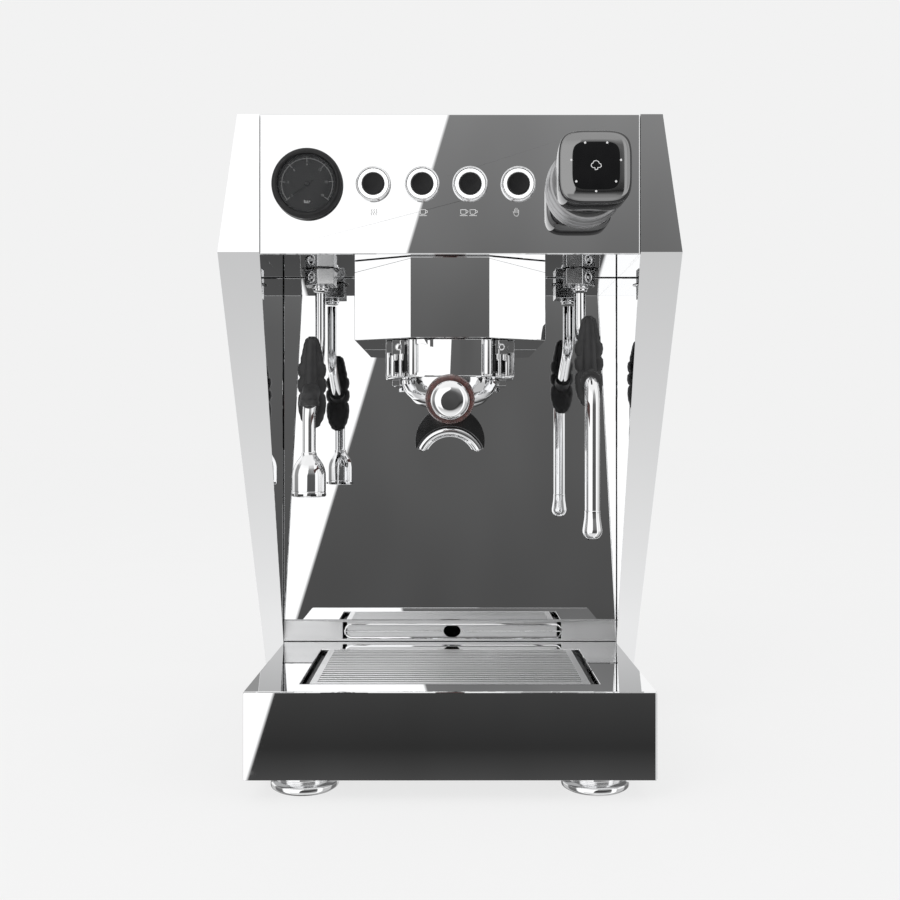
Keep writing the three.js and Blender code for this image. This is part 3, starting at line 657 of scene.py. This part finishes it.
# ---------------------------------------------------------------- group head
GY = 52.0
G0 = P(0, GY, 0)
ring = [(33.6, 251.4), (42.9, 251.4), (43.5, 252.0), (43.5, 254.3), (42.3, 254.9), (42.3, 272.4), (43.5, 273.0), (43.5, 275.9), (36, 275.9), (36, 336), (22, 345), (0.0, 345), (0.0, 270.2), (33.6, 270.2), (33.6, 261.6), (37.3, 261.6), (37.3, 253.6), (33.6, 253.6)]
bm = lathe(ring, G0, UP, 144, closed=True)
cut = bmesh.ops.bisect_plane(bm, geom=bm.verts[:] + bm.edges[:] + bm.faces[:], plane_co=P(0, 12.2, 0), plane_no=Vector((0, -1, 0)), clear_outer=True)
bmesh.ops.holes_fill(bm, edges=[x for x in bm.edges if x.is_boundary], sides=0)
make("group_ring", bm, "chrome", "body", ["group_body"], bevel=0.25)

# front face of the group, creased a little left of its middle, with clamp blocks beside it
plan = [(-20.7, 13.6), (-1.6, 10.9), (20.7, 12.1), (20.7, 18.4), (-20.7, 18.4)]
make("group_face", prism_xy(plan, 251.9, 276.0), "chrome", "body", bevel=0.5, segments=4, angle=20)
bm = bmesh.new()
for side in (-1, 1):
    # rounded posts beside the face, a recess between them darkened with painted shade, and a clamp block above
    lathe(soften([(0, 252.2), (2.6, 252.2), (3.1, 253), (3.1, 275.9), (0, 275.9)], 0.5), P(side * 24.4, 15.6, 0), UP, 40, bm=bm)
    lathe(soften([(0, 252.0), (0.9, 252.0), (1.3, 252.8), (1.3, 275.9), (0, 275.9)], 0.3), P(side * 32.2, 21.6, 0), UP, 36, bm=bm)
    lathe(soften([(0, 251.8), (1.6, 251.8), (2.1, 252.8), (2.1, 266.4), (0, 266.4)], 0.4), P(side * 37.4, 28.0, 0), UP, 40, bm=bm)
    lathe(soften([(0, 252.6), (1.6, 252.6), (2.0, 253.6), (2.0, 275.9), (0, 275.9)], 0.4), P(side * 41.0, 37.6, 0), UP, 40, bm=bm)
    x0, x1 = sorted((side * 29.6, side * 37.6))
    block(x0, x1, 20.4, 31, 266.6, 275.9, bm)
    x0, x1 = sorted((side * 38.4, side * 42.4))
    block(x0, x1, 29.0, 40, 268.2, 275.9, bm)
    for fx, fy in ((31.2, 21.6), (35.6, 22.6)):
        lathe(soften([(0, 262.6), (1.1, 262.6), (1.5, 263.2), (1.5, 267), (0, 267)], 0.3), P(side * fx, fy, 0), UP, 24, bm=bm)
    lathe(soften([(0, -1.2), (1.5, -1.2), (2.3, -0.6), (2.3, 4), (0, 4)], 0.4), P(side * 33.6, 20.6, 271.4), OUT * -1, 28, bm=bm)
    # thin black sheet curved round the group inside the recess: painted shade, not a part of the group
    n0 = len(bm.faces)
    rings_ = []
    for k in range(11):
        a = math.radians(-9 - 42 * k / 10)
        u = Vector((side * math.cos(a), math.sin(a), 0))
        rings_.append([G0 + u * q * MM + UP * z * MM for q, z in ((42.5, 255.2), (42.75, 255.2), (42.75, 272.2), (42.5, 272.2))])
    loft(rings_, bm)
    bm.faces.ensure_lookup_table()
    for f in bm.faces[n0:]:
        f.material_index = 1
make("group_clamps", bm, ["chrome", "bezel_black"], "body", bevel=0.45)

# ---------------------------------------------------------------- portafilter
h0 = P(0, GY - 31, 244.2)
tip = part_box("handle_end_cap")[0].y
h1 = Vector((0, tip, 0.232))
hd = (h1 - h0).normalized()
L = (h1 - h0).length / MM
bowl = soften([(4, 233.9), (12, 234.4), (20, 236), (26, 238.6), (30, 242.6), (32.2, 247.4), (32.6, 250.5), (32.6, 262.5), (30.1, 262.5), (30.1, 247.2), (28, 244), (23, 240.8), (4, 238.6)], 1.6, 3)
bm = lathe(bowl, G0, UP, 128, closed=True)
for centre in (0, 180):
    rings_ = []
    for i in range(9):
        a = math.radians(centre - 11.5 + 23 * i / 8)
        u = Vector((math.cos(a), math.sin(a), 0))
        rings_.append([G0 + u * r * MM + UP * z * MM for r, z in ((32, 255.4), (36.6, 255.4), (36.6, 259.6), (32, 259.6))])
    loft(rings_, bm)
for x in (-36.6, 35.6):
    block(x - 2.6, x + 2.6, GY - 3.5, GY + 3.5, 247.4, 251.1, bm)
    block(min(x, 0.86 * x), max(x, 0.86 * x), GY - 2.6, GY + 2.6, 248.4, 250.8, bm)
lathe(soften([(0, -1.5), (8.6, -1.5), (7.2, 4), (6.6, 8), (6.6, 17), (9.8, 18.2), (10.3, 20.5), (10.3, 22.0), (0, 22.0)], 1.0), h0, hd, 64, bm=bm)
make("portafilter_bowl", bm, "chrome", "portafilter", ["portafilter_body"], bevel=0.2)
wood = soften([(0, 22.4), (9.6, 22.4), (10.6, 23.4), (10.7, 34), (11.0, 50), (12.0, 72), (13.3, 92), (13.9, 104), (13.7, L - 12), (13.2, L - 8.4), (12.2, L - 6.4), (11.2, L - 6.0), (0, L - 6.0)], 3.0, 6)
make("wood_handle", lathe(wood, h0, hd, 96), "wood", "portafilter", ["portafilter_handle"])
dome = [(0, L - 7.5), (10.2, L - 7.5), (11.0, L - 7.0), (11.0, L - 6.3)]
dome += [(4.6 + 6.4 * math.sin(math.radians(a)), L - 6.3 + 6.25 * math.cos(math.radians(a))) for a in range(86, 0, -5)] + [(4.6, L - 0.05), (2.0, L - 0.01), (0, L)]
make("handle_cap", lathe(dome, h0, hd, 96), "chrome", "portafilter", ["handle_end_cap"])

# spout: a flat front with an arched underside that steps down behind it
def spout_ring(y, R, zc, r2, z2, b0, grow=0.0):
    a0 = -12.5
    outer = [(R * math.cos(math.radians(a0 + (180 - 2 * a0) * i / 40)), min(232.6, zc + R * math.sin(math.radians(a0 + (180 - 2 * a0) * i / 40)))) for i in range(41)]
    inner = [(r2 * math.cos(math.radians(180 - b0 - (180 - 2 * b0) * i / 40)), z2 + r2 * math.sin(math.radians(180 - b0 - (180 - 2 * b0) * i / 40))) for i in range(41)]
    return [P(x, y, z) for x, z in outer + inner]


bm = loft([spout_ring(40, 23.4, 209.8, 24.2, 195.7, 21.8), spout_ring(41.6, 23.4, 209.8, 23.6, 195.1, 23), spout_ring(47, 23.2, 209.8, 21.6, 192.0, 29), spout_ring(62.5, 23.2, 209.8, 21.9, 192.0, 28.5), spout_ring(64, 22.6, 209.8, 22.2, 192.0, 28)])
# the spout body gets the dark steel finish: painted shade standing in for dark reflections in chrome
make("spout_body", bm, "dark_steel", "portafilter", ["double_spout"], bevel=0.35, angle=40)
# rounded lip along the arch that ends in the two outlets
lip = []
for i in range(49):
    a = math.radians(90 + 63.0 * (i - 24) / 24)
    lip.append(P(21.9 * math.cos(a), 43.9, 194.7 + 21.9 * math.sin(a)))
bm = tube(lip, [3.1 + 0.45 * math.sin(math.pi * i / 48) for i in range(49)], 48)
for end, inner in ((lip[0], lip[1]), (lip[-1], lip[-2])):
    d = (end - inner).normalized()
    lathe([(1.3, -0.2), (2.1, -0.2), (2.3, 0.7), (1.3, 0.7)], end, d, 40, closed=True, bm=bm)
    # black disc in each outlet: painted shade in the opening
    lathe([(0, -0.2), (1.28, -0.2), (1.28, 0.15), (0, 0.15)], end, d, 32, bm=bm, mat=1)
make("spout_lip", bm, ["chrome", "bezel_black"], "portafilter", angle=60)
bm = lathe(soften([(0, 226), (4.2, 226), (4.2, 231), (7.0, 232.2), (7.0, 235.2), (4.6, 236.2), (0, 236.2)], 0.5), G0, UP, 48)
make("spout_neck", bm, "chrome", "portafilter")

# ---------------------------------------------------------------- wands
def swivel(side, node, body):
    x = side * 90
    plan = [(x - side * 10.5, 54.5), (x + side * 0.8, 54.5), (x + side * 10.5, 64.0), (x + side * 10.5, 75.5), (x - side * 10.5, 75.5)]
    bm = prism_xy(plan, 317.4, 328.2)
    make(node + "_block", bm, "swivel_steel", body, [node], bevel=0.5, segments=4)
    bm = lathe(soften([(0, 313.4), (4.6, 313.4), (5.0, 314.0), (5.0, 315.2), (5.8, 315.6), (5.8, 316.8), (5.2, 317.2), (5.2, 318.0), (0, 318.0)], 0.3), P(x, 65, 0), UP, 64)
    n = Vector((side * 9.5, -9.7, 0)).normalized()
    c = P(x + side * 5.65, 59.25, 322.8)
    lathe(soften([(0, -1), (4.2, -1), (4.2, 0.35), (3.9, 0.6), (2.7, 0.6), (2.5, 0.1), (0, 0.1)], 0.15), c, n, 48, bm=bm)
    lathe(soften([(0, 0.0), (1.2, 0.0), (1.2, 0.7), (0, 0.7)], 0.15), c, n, 24, bm=bm)
    make(node + "_joint", bm, "chrome", body, bevel=0.15)
    bm = lathe([(11.6, 328.32), (13.2, 328.32), (13.2, 328.6), (11.6, 328.6)], P(x, 65, 0), UP, 64, closed=True)
    make(node + "_escutcheon", bm, "black_gloss", "body")


def wand(x, low_y, z_up, z_low, z_end, r_up, r_low):
    pts = rounded_path([P(x, 65, 312), P(x, 65, z_up), P(x, low_y, z_low), P(x, low_y, z_end)], 13, 14)
    out = []
    for a, c in zip(pts, pts[1:]):
        k = max(1, int((c - a).length / 0.0025))
        out += [a.lerp(c, i / k) for i in range(k)]
    out.append(pts[-1])
    span = [max(0.0, min(1.0, (P(0, 65, 0).y - p.y) / ((65 - low_y) * MM))) for p in out]
    return tube(out, [r_up + (r_low - r_up) * s * s * (3 - 2 * s) for s in span], 48)


HALF = [(0, 3.0), (0.04, 5.4), (0.12, 7.6), (0.2, 8.8), (0.27, 9.2), (0.33, 9.0), (0.36, 8.6), (0.385, 7.6), (0.41, 8.8), (0.46, 9.5), (0.52, 9.3), (0.555, 7.9), (0.59, 8.9), (0.64, 9.3), (0.69, 8.9), (0.72, 7.4), (0.76, 7.4), (0.83, 6.4), (0.9, 5.6), (0.96, 4.6), (1, 2.8)]


def grip(name, node, x, yc, z0, z1, body, sleeve):
    rings_ = []
    N = 110
    for i in range(N + 1):
        s = i / N
        for (a, wa), (c, wc) in zip(HALF, HALF[1:]):
            if a <= s <= c:
                f = (s - a) / (c - a)
                f = f * f * (3 - 2 * f)
                w = wa + (wc - wa) * f
                break
        d = 2.0 + 3.3 * math.sin(math.pi * min(1, max(0, s * 0.94 + 0.03))) ** 0.7
        if s < 0.015 or s > 0.985:
            w, d = w * 0.8, d * 0.8
        z = z0 + (z1 - z0) * s
        ring = []
        for k in range(48):
            a = 2 * math.pi * k / 48
            cx, sy = math.cos(a), math.sin(a)
            ring.append(P(x + w * math.copysign(abs(cx) ** 0.75, cx), yc + d * math.copysign(abs(sy) ** 0.75, sy), z))
        rings_.append(ring)
    bm = loft(rings_)
    # spine that holds the tube, proud of the front
    zs = [z0 + (z1 - z0) * q for q in (0.16, 0.2, 0.3, 0.45, 0.6, 0.75, 0.88, 0.96, 0.985)]
    rs = [3.6, 4.6, 5.0, 5.0, 4.8, 4.4, 3.9, 3.2, 2.0]
    tube([P(x, yc - 3.4 + 2.6 * max(0, (z - z0) / (z1 - z0) - 0.3), z) for z in zs], rs, 40, bm)
    # collar at the lower end of the spine
    tube([P(x, yc - 3.6, z0 + (z1 - z0) * q) for q in (0.30, 0.31, 0.335, 0.345)], [5.0, 5.5, 5.5, 5.0], 40, bm)
    if sleeve:
        pts = rounded_path([P(x, *q) for q in sleeve], 9, 10)
        tube(pts, 5.9, 40, bm)
        a, c = pts[0], pts[1]
        d = (c - a).normalized()
        tube([a - d * 0.0012, a - d * 0.0010, a + d * 0.0022, a + d * 0.0026], [5.6, 6.5, 6.5, 5.9], 40, bm)
    make(name, bm, "silicone", body, [node], angle=60)


swivel(1, "steam_swivel", "steam_wand")
swivel(-1, "water_swivel", "water_wand")
make("steam_wand_tube", wand(90, -3, 279, 245, 165.0, 4.0, 4.7), "chrome", "steam_wand", ["steam_tube"])
make("water_wand_tube", wand(-90, 4, 268, 236, 202.0, 3.5, 4.25), "chrome", "water_wand", ["water_tube"])
grip("steam_wand_grip", "steam_grip", 90, 15.2, 232, 291, "steam_wand", [(4, 248.6), (26, 259)])
grip("water_wand_grip", "water_grip", -90, 19.2, 218, 278, "water_wand", [(4.0, 233.5), (4.0, 236.5), (26, 248)])
tipc = P(90, -3, 0)
bm = lathe(soften([(0, 148.9), (0.9, 148.0), (3.2, 148.2), (5.0, 149.6), (6.1, 151.8), (6.2, 153.6), (5.7, 157), (5.0, 161.5), (4.85, 164.6), (4.95, 165.6), (4.6, 166.2), (0, 166.2)], 1.3, 5), tipc, UP, 64)
# four black discs on the tip: painted shade in the steam holes
for k in range(4):
    a = math.radians(45 + 90 * k)
    u = Vector((math.cos(a), math.sin(a), -0.9)).normalized()
    lathe([(0, 0.0), (0.6, 0.0), (0.6, 0.35), (0, 0.35)], P(90, -3, 151.4) + u * 0.0049, u, 16, bm=bm, mat=1)
make("steam_wand_tip", bm, ["chrome", "bezel_black"], "steam_wand", ["steam_tip"])
noz = soften([(0, 184), (7.6, 184), (8.8, 174.4), (10.3, 174.4), (10.7, 175.2), (10.7, 177.2), (10.55, 177.6), (10.7, 178), (10.7, 189), (10.1, 192.2), (8.9, 195.2), (7.2, 197.8), (5.6, 199.8), (4.8, 201.2), (4.7, 202.8), (0, 202.8)], 1.0, 4)
bm = lathe(noz, P(-90, 4, 0), UP, 72)
# eight black blocks round the nozzle: painted shade in its slots
for k in range(8):
    a = math.radians(22.5 + 45 * k)
    c = P(-90, 4, 175.7) + Vector((math.cos(a), math.sin(a), 0)) * 10.55 * MM
    u = Vector((math.cos(a), math.sin(a), 0))
    v = Vector((-math.sin(a), math.cos(a), 0))
    loft([[c + u * q * MM + v * p * MM + UP * r * MM for p, r in ((-1.9, -0.75), (1.9, -0.75), (1.9, 0.75), (-1.9, 0.75))] for q in (-0.4, 0.22)], bm, mat=1)
make("water_wand_nozzle", bm, ["chrome", "bezel_black"], "water_wand", ["water_nozzle"])

# ---------------------------------------------------------------- gauge
gc = middle("gauge_dial")
gx, gz = gc.x / MM, gc.z / MM
g0 = P(gx, 0, gz)
hous = soften([(0, -26), (19.2, -26), (19.2, 0.4), (22.0, 0.4), (22.5, 1.0), (22.5, 3.6), (22.0, 4.6), (20.9, 5.3), (19.6, 5.4), (19.0, 5.0), (18.7, 4.4), (18.6, 1.3), (0, 1.3)], 0.4)
make("gauge_case", lathe(hous, g0, OUT, 128), "bezel_black", "body", ["gauge_housing"])
make("gauge_face", lathe(soften([(0, 1.4), (18.4, 1.4), (18.4, 1.9), (0, 1.9)], 0.1), g0, OUT, 96), "dial", "body", ["gauge_dial"])
bm = bmesh.new()
A0, A1 = 218.0, -37.0
stroke(arc(gx, gz, 16.1, A0, A1, 72), 0.46, -1.95, bm)
for i in range(31):
    a = math.radians(A0 + (A1 - A0) * i / 30)
    r0 = 16.1 if i % 5 else 13.9
    stroke([(gx + r * math.cos(a), gz + r * math.sin(a)) for r in (r0, 17.0)], 0.24 if i % 5 else 0.46, -1.95, bm)
make("gauge_scale", bm, "print_grey", "body")
for i in range(7):
    a = math.radians(A0 + (A1 - A0) * i / 6)
    lettering(f"gauge_figure_{i}", str(i * 3), 2.3, gx + 12.1 * math.cos(a), -1.95, gz + 12.1 * math.sin(a), "print_grey", "body")
lettering("gauge_unit", "bar", 3.2, gx, -1.95, gz - 11.2, "print_white", "body")
na = math.radians(A0)
u2 = Vector((math.cos(na), 0, math.sin(na)))
v2 = Vector((-math.sin(na), 0, math.cos(na)))
c2 = P(gx, 0, gz)
bm = loft([[c2 + u2 * a * MM + v2 * w * MM + OUT * q * MM for a, w in ((-4.5, -0.5), (12.6, -0.14), (13.1, 0), (12.6, 0.14), (-4.5, 0.5))] for q in (2.55, 2.95)])
lathe(soften([(0, 2.3), (1.7, 2.3), (1.7, 3.0), (1.2, 3.35), (0, 3.4)], 0.25), g0, OUT, 40, bm=bm)
make("gauge_hand", bm, "dial", "needle", ["gauge_needle"], bevel=0.06)
make("gauge_glass", lathe(soften([(0, 4.1), (18.5, 4.1), (18.5, 4.45), (0, 4.5)], 0.1), g0, OUT, 96), "lens", "body", ["gauge_lens"])

# ---------------------------------------------------------------- buttons
bx = []
for i in range(1, 5):
    c = middle(f"button_bezel_{i}")
    o = Vector((c.x, YF, c.z))
    bx.append((c.x / MM, c.z / MM))
    bm = lathe(soften([(9.95, -0.2), (9.95, 2.5), (10.15, 3.1), (10.5, 3.25), (10.95, 2.6), (11.2, 1.5), (11.2, 0.36), (8.6, 0.36), (8.6, -13), (8.4, -13), (8.4, -0.2)], 0.25), o, OUT, 96, closed=True)
    make(f"button_rim_{i}", bm, "chrome", "body", [f"button_bezel_{i}"])
    bm = lathe([(9.66, 0.4), (9.93, 0.4), (9.93, 2.3), (9.66, 2.1)], o, OUT, 96, closed=True)
    lathe([(7.16, -1), (7.28, -1), (7.28, 2.0), (7.16, 2.0)], o, OUT, 96, closed=True, bm=bm)
    make(f"button_sleeve_{i}", bm, "bezel_black", "body")
    bm = lathe(soften([(7.3, -1), (8.38, -1), (8.38, 0.4), (9.65, 0.4), (9.65, 2.1), (9.2, 2.5), (7.7, 2.5), (7.3, 2.0)], 0.2), o, OUT, 96, closed=True)
    make(f"button_light_{i}", bm, "lit_ring", "body")
    bm = lathe(soften([(0, -8), (7.05, -8), (7.05, 2.2), (6.6, 2.85), (5.2, 2.65), (0, 2.3)], 0.4, 4), o, OUT, 96)
    make(f"button_top_{i}", bm, "button_black", f"button_{i}", [f"button_cap_{i}"])

# pictograms under the buttons: generic steam, cup, two cups and hand signs
def cup(x, z, bm, s=1.0):
    w, h = 3.4 * s, 2.9 * s
    stroke([(x - w / 2, z + h / 2), (x - w / 2, z - h * 0.28), (x - w * 0.34, z - h / 2), (x + w * 0.30, z - h / 2), (x + w / 2, z - h * 0.28), (x + w / 2, z + h / 2)], 0.42, -0.02, bm, closed=True)
    stroke([(x + w / 2, z + h * 0.34), (x + w * 0.84, z + h * 0.26), (x + w * 0.84, z - h * 0.10), (x + w / 2, z - h * 0.2)], 0.38, -0.02, bm)
    stroke([(x - w * 0.62, z - h * 0.80), (x + w * 0.72, z - h * 0.80)], 0.42, -0.02, bm)


IZ = 355.4
bm = bmesh.new()
for k in (-1, 0, 1):
    x = bx[0][0] + 0.5 + k * 1.5
    stroke([(x, IZ - 2.0), (x - 0.45, IZ - 1.1), (x + 0.35, IZ - 0.1), (x - 0.2, IZ + 0.9), (x + 0.2, IZ + 1.8)], 0.34, -0.02, bm)
make("sign_steam", bm, "print_grey", "body")
bm = bmesh.new()
cup(bx[1][0] + 0.5, IZ, bm)
make("sign_one_cup", bm, "print_white", "body")
bm = bmesh.new()
cup(bx[2][0] - 4.3, IZ, bm)
cup(bx[2][0] + 1.7, IZ, bm)
make("sign_two_cups", bm, "print_white", "body")
bm = bmesh.new()
hx = bx[3][0] - 1.6
stroke([(hx - 1.7, IZ + 0.3), (hx - 1.0, IZ - 1.8), (hx - 0.2, IZ - 2.6), (hx + 1.2, IZ - 2.6), (hx + 1.8, IZ - 1.2), (hx + 1.8, IZ + 1.2)], 0.36, -0.02, bm)
for k, (fx, top) in enumerate(((-0.8, 1.9), (0.0, 2.5), (0.8, 2.3), (1.6, 1.4))):
    stroke([(hx + fx, IZ - 0.4), (hx + fx, IZ + top)], 0.36, -0.02, bm)
make("sign_hand", bm, "print_white", "body")

# folded lips that close the corner between the ceiling and the inner walls
bm = bmesh.new()
for side in (-1, 1):
    x0, x1 = sorted((side * 120.25, side * 122.8))
    block(x0, x1, 2.6, 103.8, 328.71, 330.4, bm)
    x0, x1 = sorted((side * 121.21, side * 122.8))
    block(x0, x1, 3.4, 103.8, 328.2, 328.9, bm)
make("ceiling_lips", bm, "mirror_steel", "body")

# ---------------------------------------------------------------- steam knob
kc = middle("knob_collar")
kx, kz = kc.x / MM, kc.z / MM
k0 = P(kx, 0, kz)
col = soften([(7.2, 0.4), (24.8, 0.4), (25.0, 1.0), (24.6, 6.0), (24.5, 6.6), (24.2, 6.9), (24.2, 7.3), (24.5, 7.6), (24.1, 13.6), (23.6, 15.0), (22.4, 15.6), (7.2, 15.6)], 0.3)
make("knob_base", lathe(col, k0, OUT, 128, closed=True), "satin_steel", "body", ["knob_collar"])


def squircle(half, n=96, power=4.2):
    out = []
    for i in range(n):
        a = 2 * math.pi * i / n
        c, s = math.cos(a), math.sin(a)
        out.append((kx + half * math.copysign(abs(c) ** (2 / power), c), kz + half * math.copysign(abs(s) ** (2 / power), s)))
    return out


levels = [(19.6, 21.6, 2.0), (20.3, 22.2, 3.0), (20.6, 24.0, 4.2), (20.9, 29.6, 4.2), (21.5, 30.4, 4.2), (21.7, 31.4, 4.2), (21.7, 50.0, 4.2), (21.6, 50.7, 4.2), (21.3, 51.4, 4.2), (20.8, 51.75, 4.2), (20.45, 51.7, 4.2), (20.2, 51.75, 4.2), (19.4, 52.45, 4.2), (18.2, 53.15, 4.2), (16.8, 53.75, 4.2), (15.6, 54.15, 4.2), (14.6, 54.38, 4.4), (14.0, 54.46, 4.6), (13.4, 54.49, 4.4), (9.0, 54.56, 3.2), (3.0, 54.6, 2.0)]
bm = loft([[P(x, -q, z) for x, z in squircle(h, 96, pw)] for h, q, pw in levels])
# front faces of the knob: the outer border gets the painted-highlight finish, the middle the painted-shade finish
for f in bm.faces:
    c = f.calc_center_median() / MM
    if YF / MM - c.y > 51.72:
        edge_r = (abs(c.x - kx) ** 4.4 + abs(c.z - kz) ** 4.4) ** (1 / 4.4)
        f.material_index = 1 if edge_r > 14.2 else 2
make("steam_knob_cap", bm, ["black_gloss", "knob_painted_highlight_border", "knob_painted_shade_middle"], "steam_knob", ["steam_knob"], angle=50)
bm = lathe(soften([(6.4, 6), (6.4, 16.2), (20.2, 16.2), (20.6, 16.6), (20.6, 17.6), (20.1, 17.9), (20.6, 18.3), (20.6, 19.4), (20.1, 19.7), (20.6, 20.1), (20.6, 21.6), (20.0, 22.2), (5, 22.2), (5, 6)], 0.2), k0, OUT, 128, closed=True)
make("steam_knob_neck", bm, "bezel_black", "steam_knob")


def face_depth(x, z):
    r = (abs(x) ** 3.4 + abs(z) ** 3.4) ** (1 / 3.4)
    pts = [(0, 54.6), (3, 54.6), (9, 54.56), (13.4, 54.49), (14.6, 54.38), (15.6, 54.15), (16.8, 53.75), (18.2, 53.15), (19.4, 52.45)]
    for (a, qa), (c, qc) in zip(pts, pts[1:]):
        if a <= r <= c:
            return qa + (qc - qa) * (r - a) / (c - a)
    return 53.5


bm = bmesh.new()
for i in range(7):
    a = math.radians(-90 + i * 360 / 7)
    x, z = 14.9 * math.cos(a), 14.9 * math.sin(a)
    q = face_depth(x, z)
    lathe(soften([(0, q - 0.4), (0.64, q - 0.4), (0.68, q + 0.05), (0.45, q + 0.12), (0, q + 0.12)], 0.05), P(kx + x, 0, kz + z), OUT, 24, bm=bm)
make("knob_dots", bm, "print_white", "steam_knob")
bm = bmesh.new()
puff = [(-2.9, -0.3), (-2.8, 0.9), (-1.9, 1.5), (-1.3, 2.6), (0.1, 2.9), (1.3, 2.3), (1.8, 1.3), (2.8, 0.8), (3.0, -0.4), (2.2, -1.2), (0.9, -1.2), (0.8, -2.2), (-0.6, -2.5), (-0.8, -1.3), (-2.1, -1.2)]
stroke([(kx + a, kz + c) for a, c in puff], 0.42, -54.62, bm, closed=True)
make("knob_sign", bm, "print_white", "steam_knob")

# ---------------------------------------------------------------- drain strip details, tray slot, fasteners
bm = bmesh.new()
zc = 71.6
cap_l, cap_r, hh = -77.0, 81.5, 5.4
outline = arc(cap_l + hh, zc, hh, 90, 270, 14) + arc(cap_r - hh, zc, hh, -90, 90, 14)
inner = arc(cap_l + hh, zc, hh - 1.3, 90, 270, 14) + arc(cap_r - hh, zc, hh - 1.3, -90, 90, 14)
loft([[P(x, 101.9, z) for x, z in outline], [P(x, 100.9, z) for x, z in outline], [P(x, 100.5, z) for x, z in [(a * 0.995, zc + (c - zc) * 0.9) for a, c in outline]], [P(x, 100.5, z) for x, z in inner], [P(x, 101.3, z) for x, z in inner]], bm, caps=False)
make("drain_rim", bm, "chrome", "body")
bm = bmesh.new()
tube([P(-76, 100.9, 71.6), P(-5.6, 100.9, 71.6)], 0.5, 12, bm)
tube([P(8.6, 100.9, 71.6), P(80.5, 100.9, 71.6)], 0.5, 12, bm)
make("drain_rail", bm, "chrome", "body")


def screw(bm, origin, axis, r=3.0):
    lathe(soften([(0, -0.6), (r * 0.55, -0.6), (r * 0.55, -0.1), (r, -0.1), (r * 0.98, 0.9), (r * 0.6, 1.5), (0, 1.65)], 0.4), origin, axis, 28, bm=bm)
    z = Vector(axis).normalized()
    x = z.orthogonal().normalized()
    y = z.cross(x)
    # raised black cross on the head: painted shade in the screw slots
    for u, v in ((x, y), (y, x)):
        loft([[origin + z * q * MM + (u * a + v * c) * MM for a, c in ((-r * 0.55, -0.22), (r * 0.55, -0.22), (r * 0.55, 0.22), (-r * 0.55, 0.22))] for q in (1.0, 1.69)], bm, mat=1)


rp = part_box("rear_panel")
bm = bmesh.new()
for x, z in ((-112, 402), (112, 402), (-128, 330), (128, 330), (-116, 100), (116, 100), (-116, 30), (116, 30)):
    screw(bm, Vector((x * MM, rp[1].y, z * MM)), (0, 1, 0))
make("rear_screws", bm, ["chrome", "bezel_black"], "body")
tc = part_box("top_cover")
bm = bmesh.new()
for x, y in ((-124, 14), (124, 14), (-124, 264), (124, 264)):
    screw(bm, P(x, y, 417.6 - 0.1), (0, 0, 1), 2.8)
for v in bm.verts:
    v.co.z = min(v.co.z, tc[1].z + 0.0012)
make("top_screws", bm, ["chrome", "bezel_black"], "body")
# contact pins in the inlet's socket
bm = bmesh.new()
for x, z in ((-101.5, 39.2), (-90.5, 39.2), (-96, 43.8)):
    block(x - 0.9, x + 0.9, 265, 279, z - 2.0, z + 2.0, bm)
make("inlet_pins", bm, "brass", "body", bevel=0.4)

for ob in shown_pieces():
    if ob.type == "MESH" and not ob.data.materials:
        ob.data.materials.append(MATS["brushed_steel"])
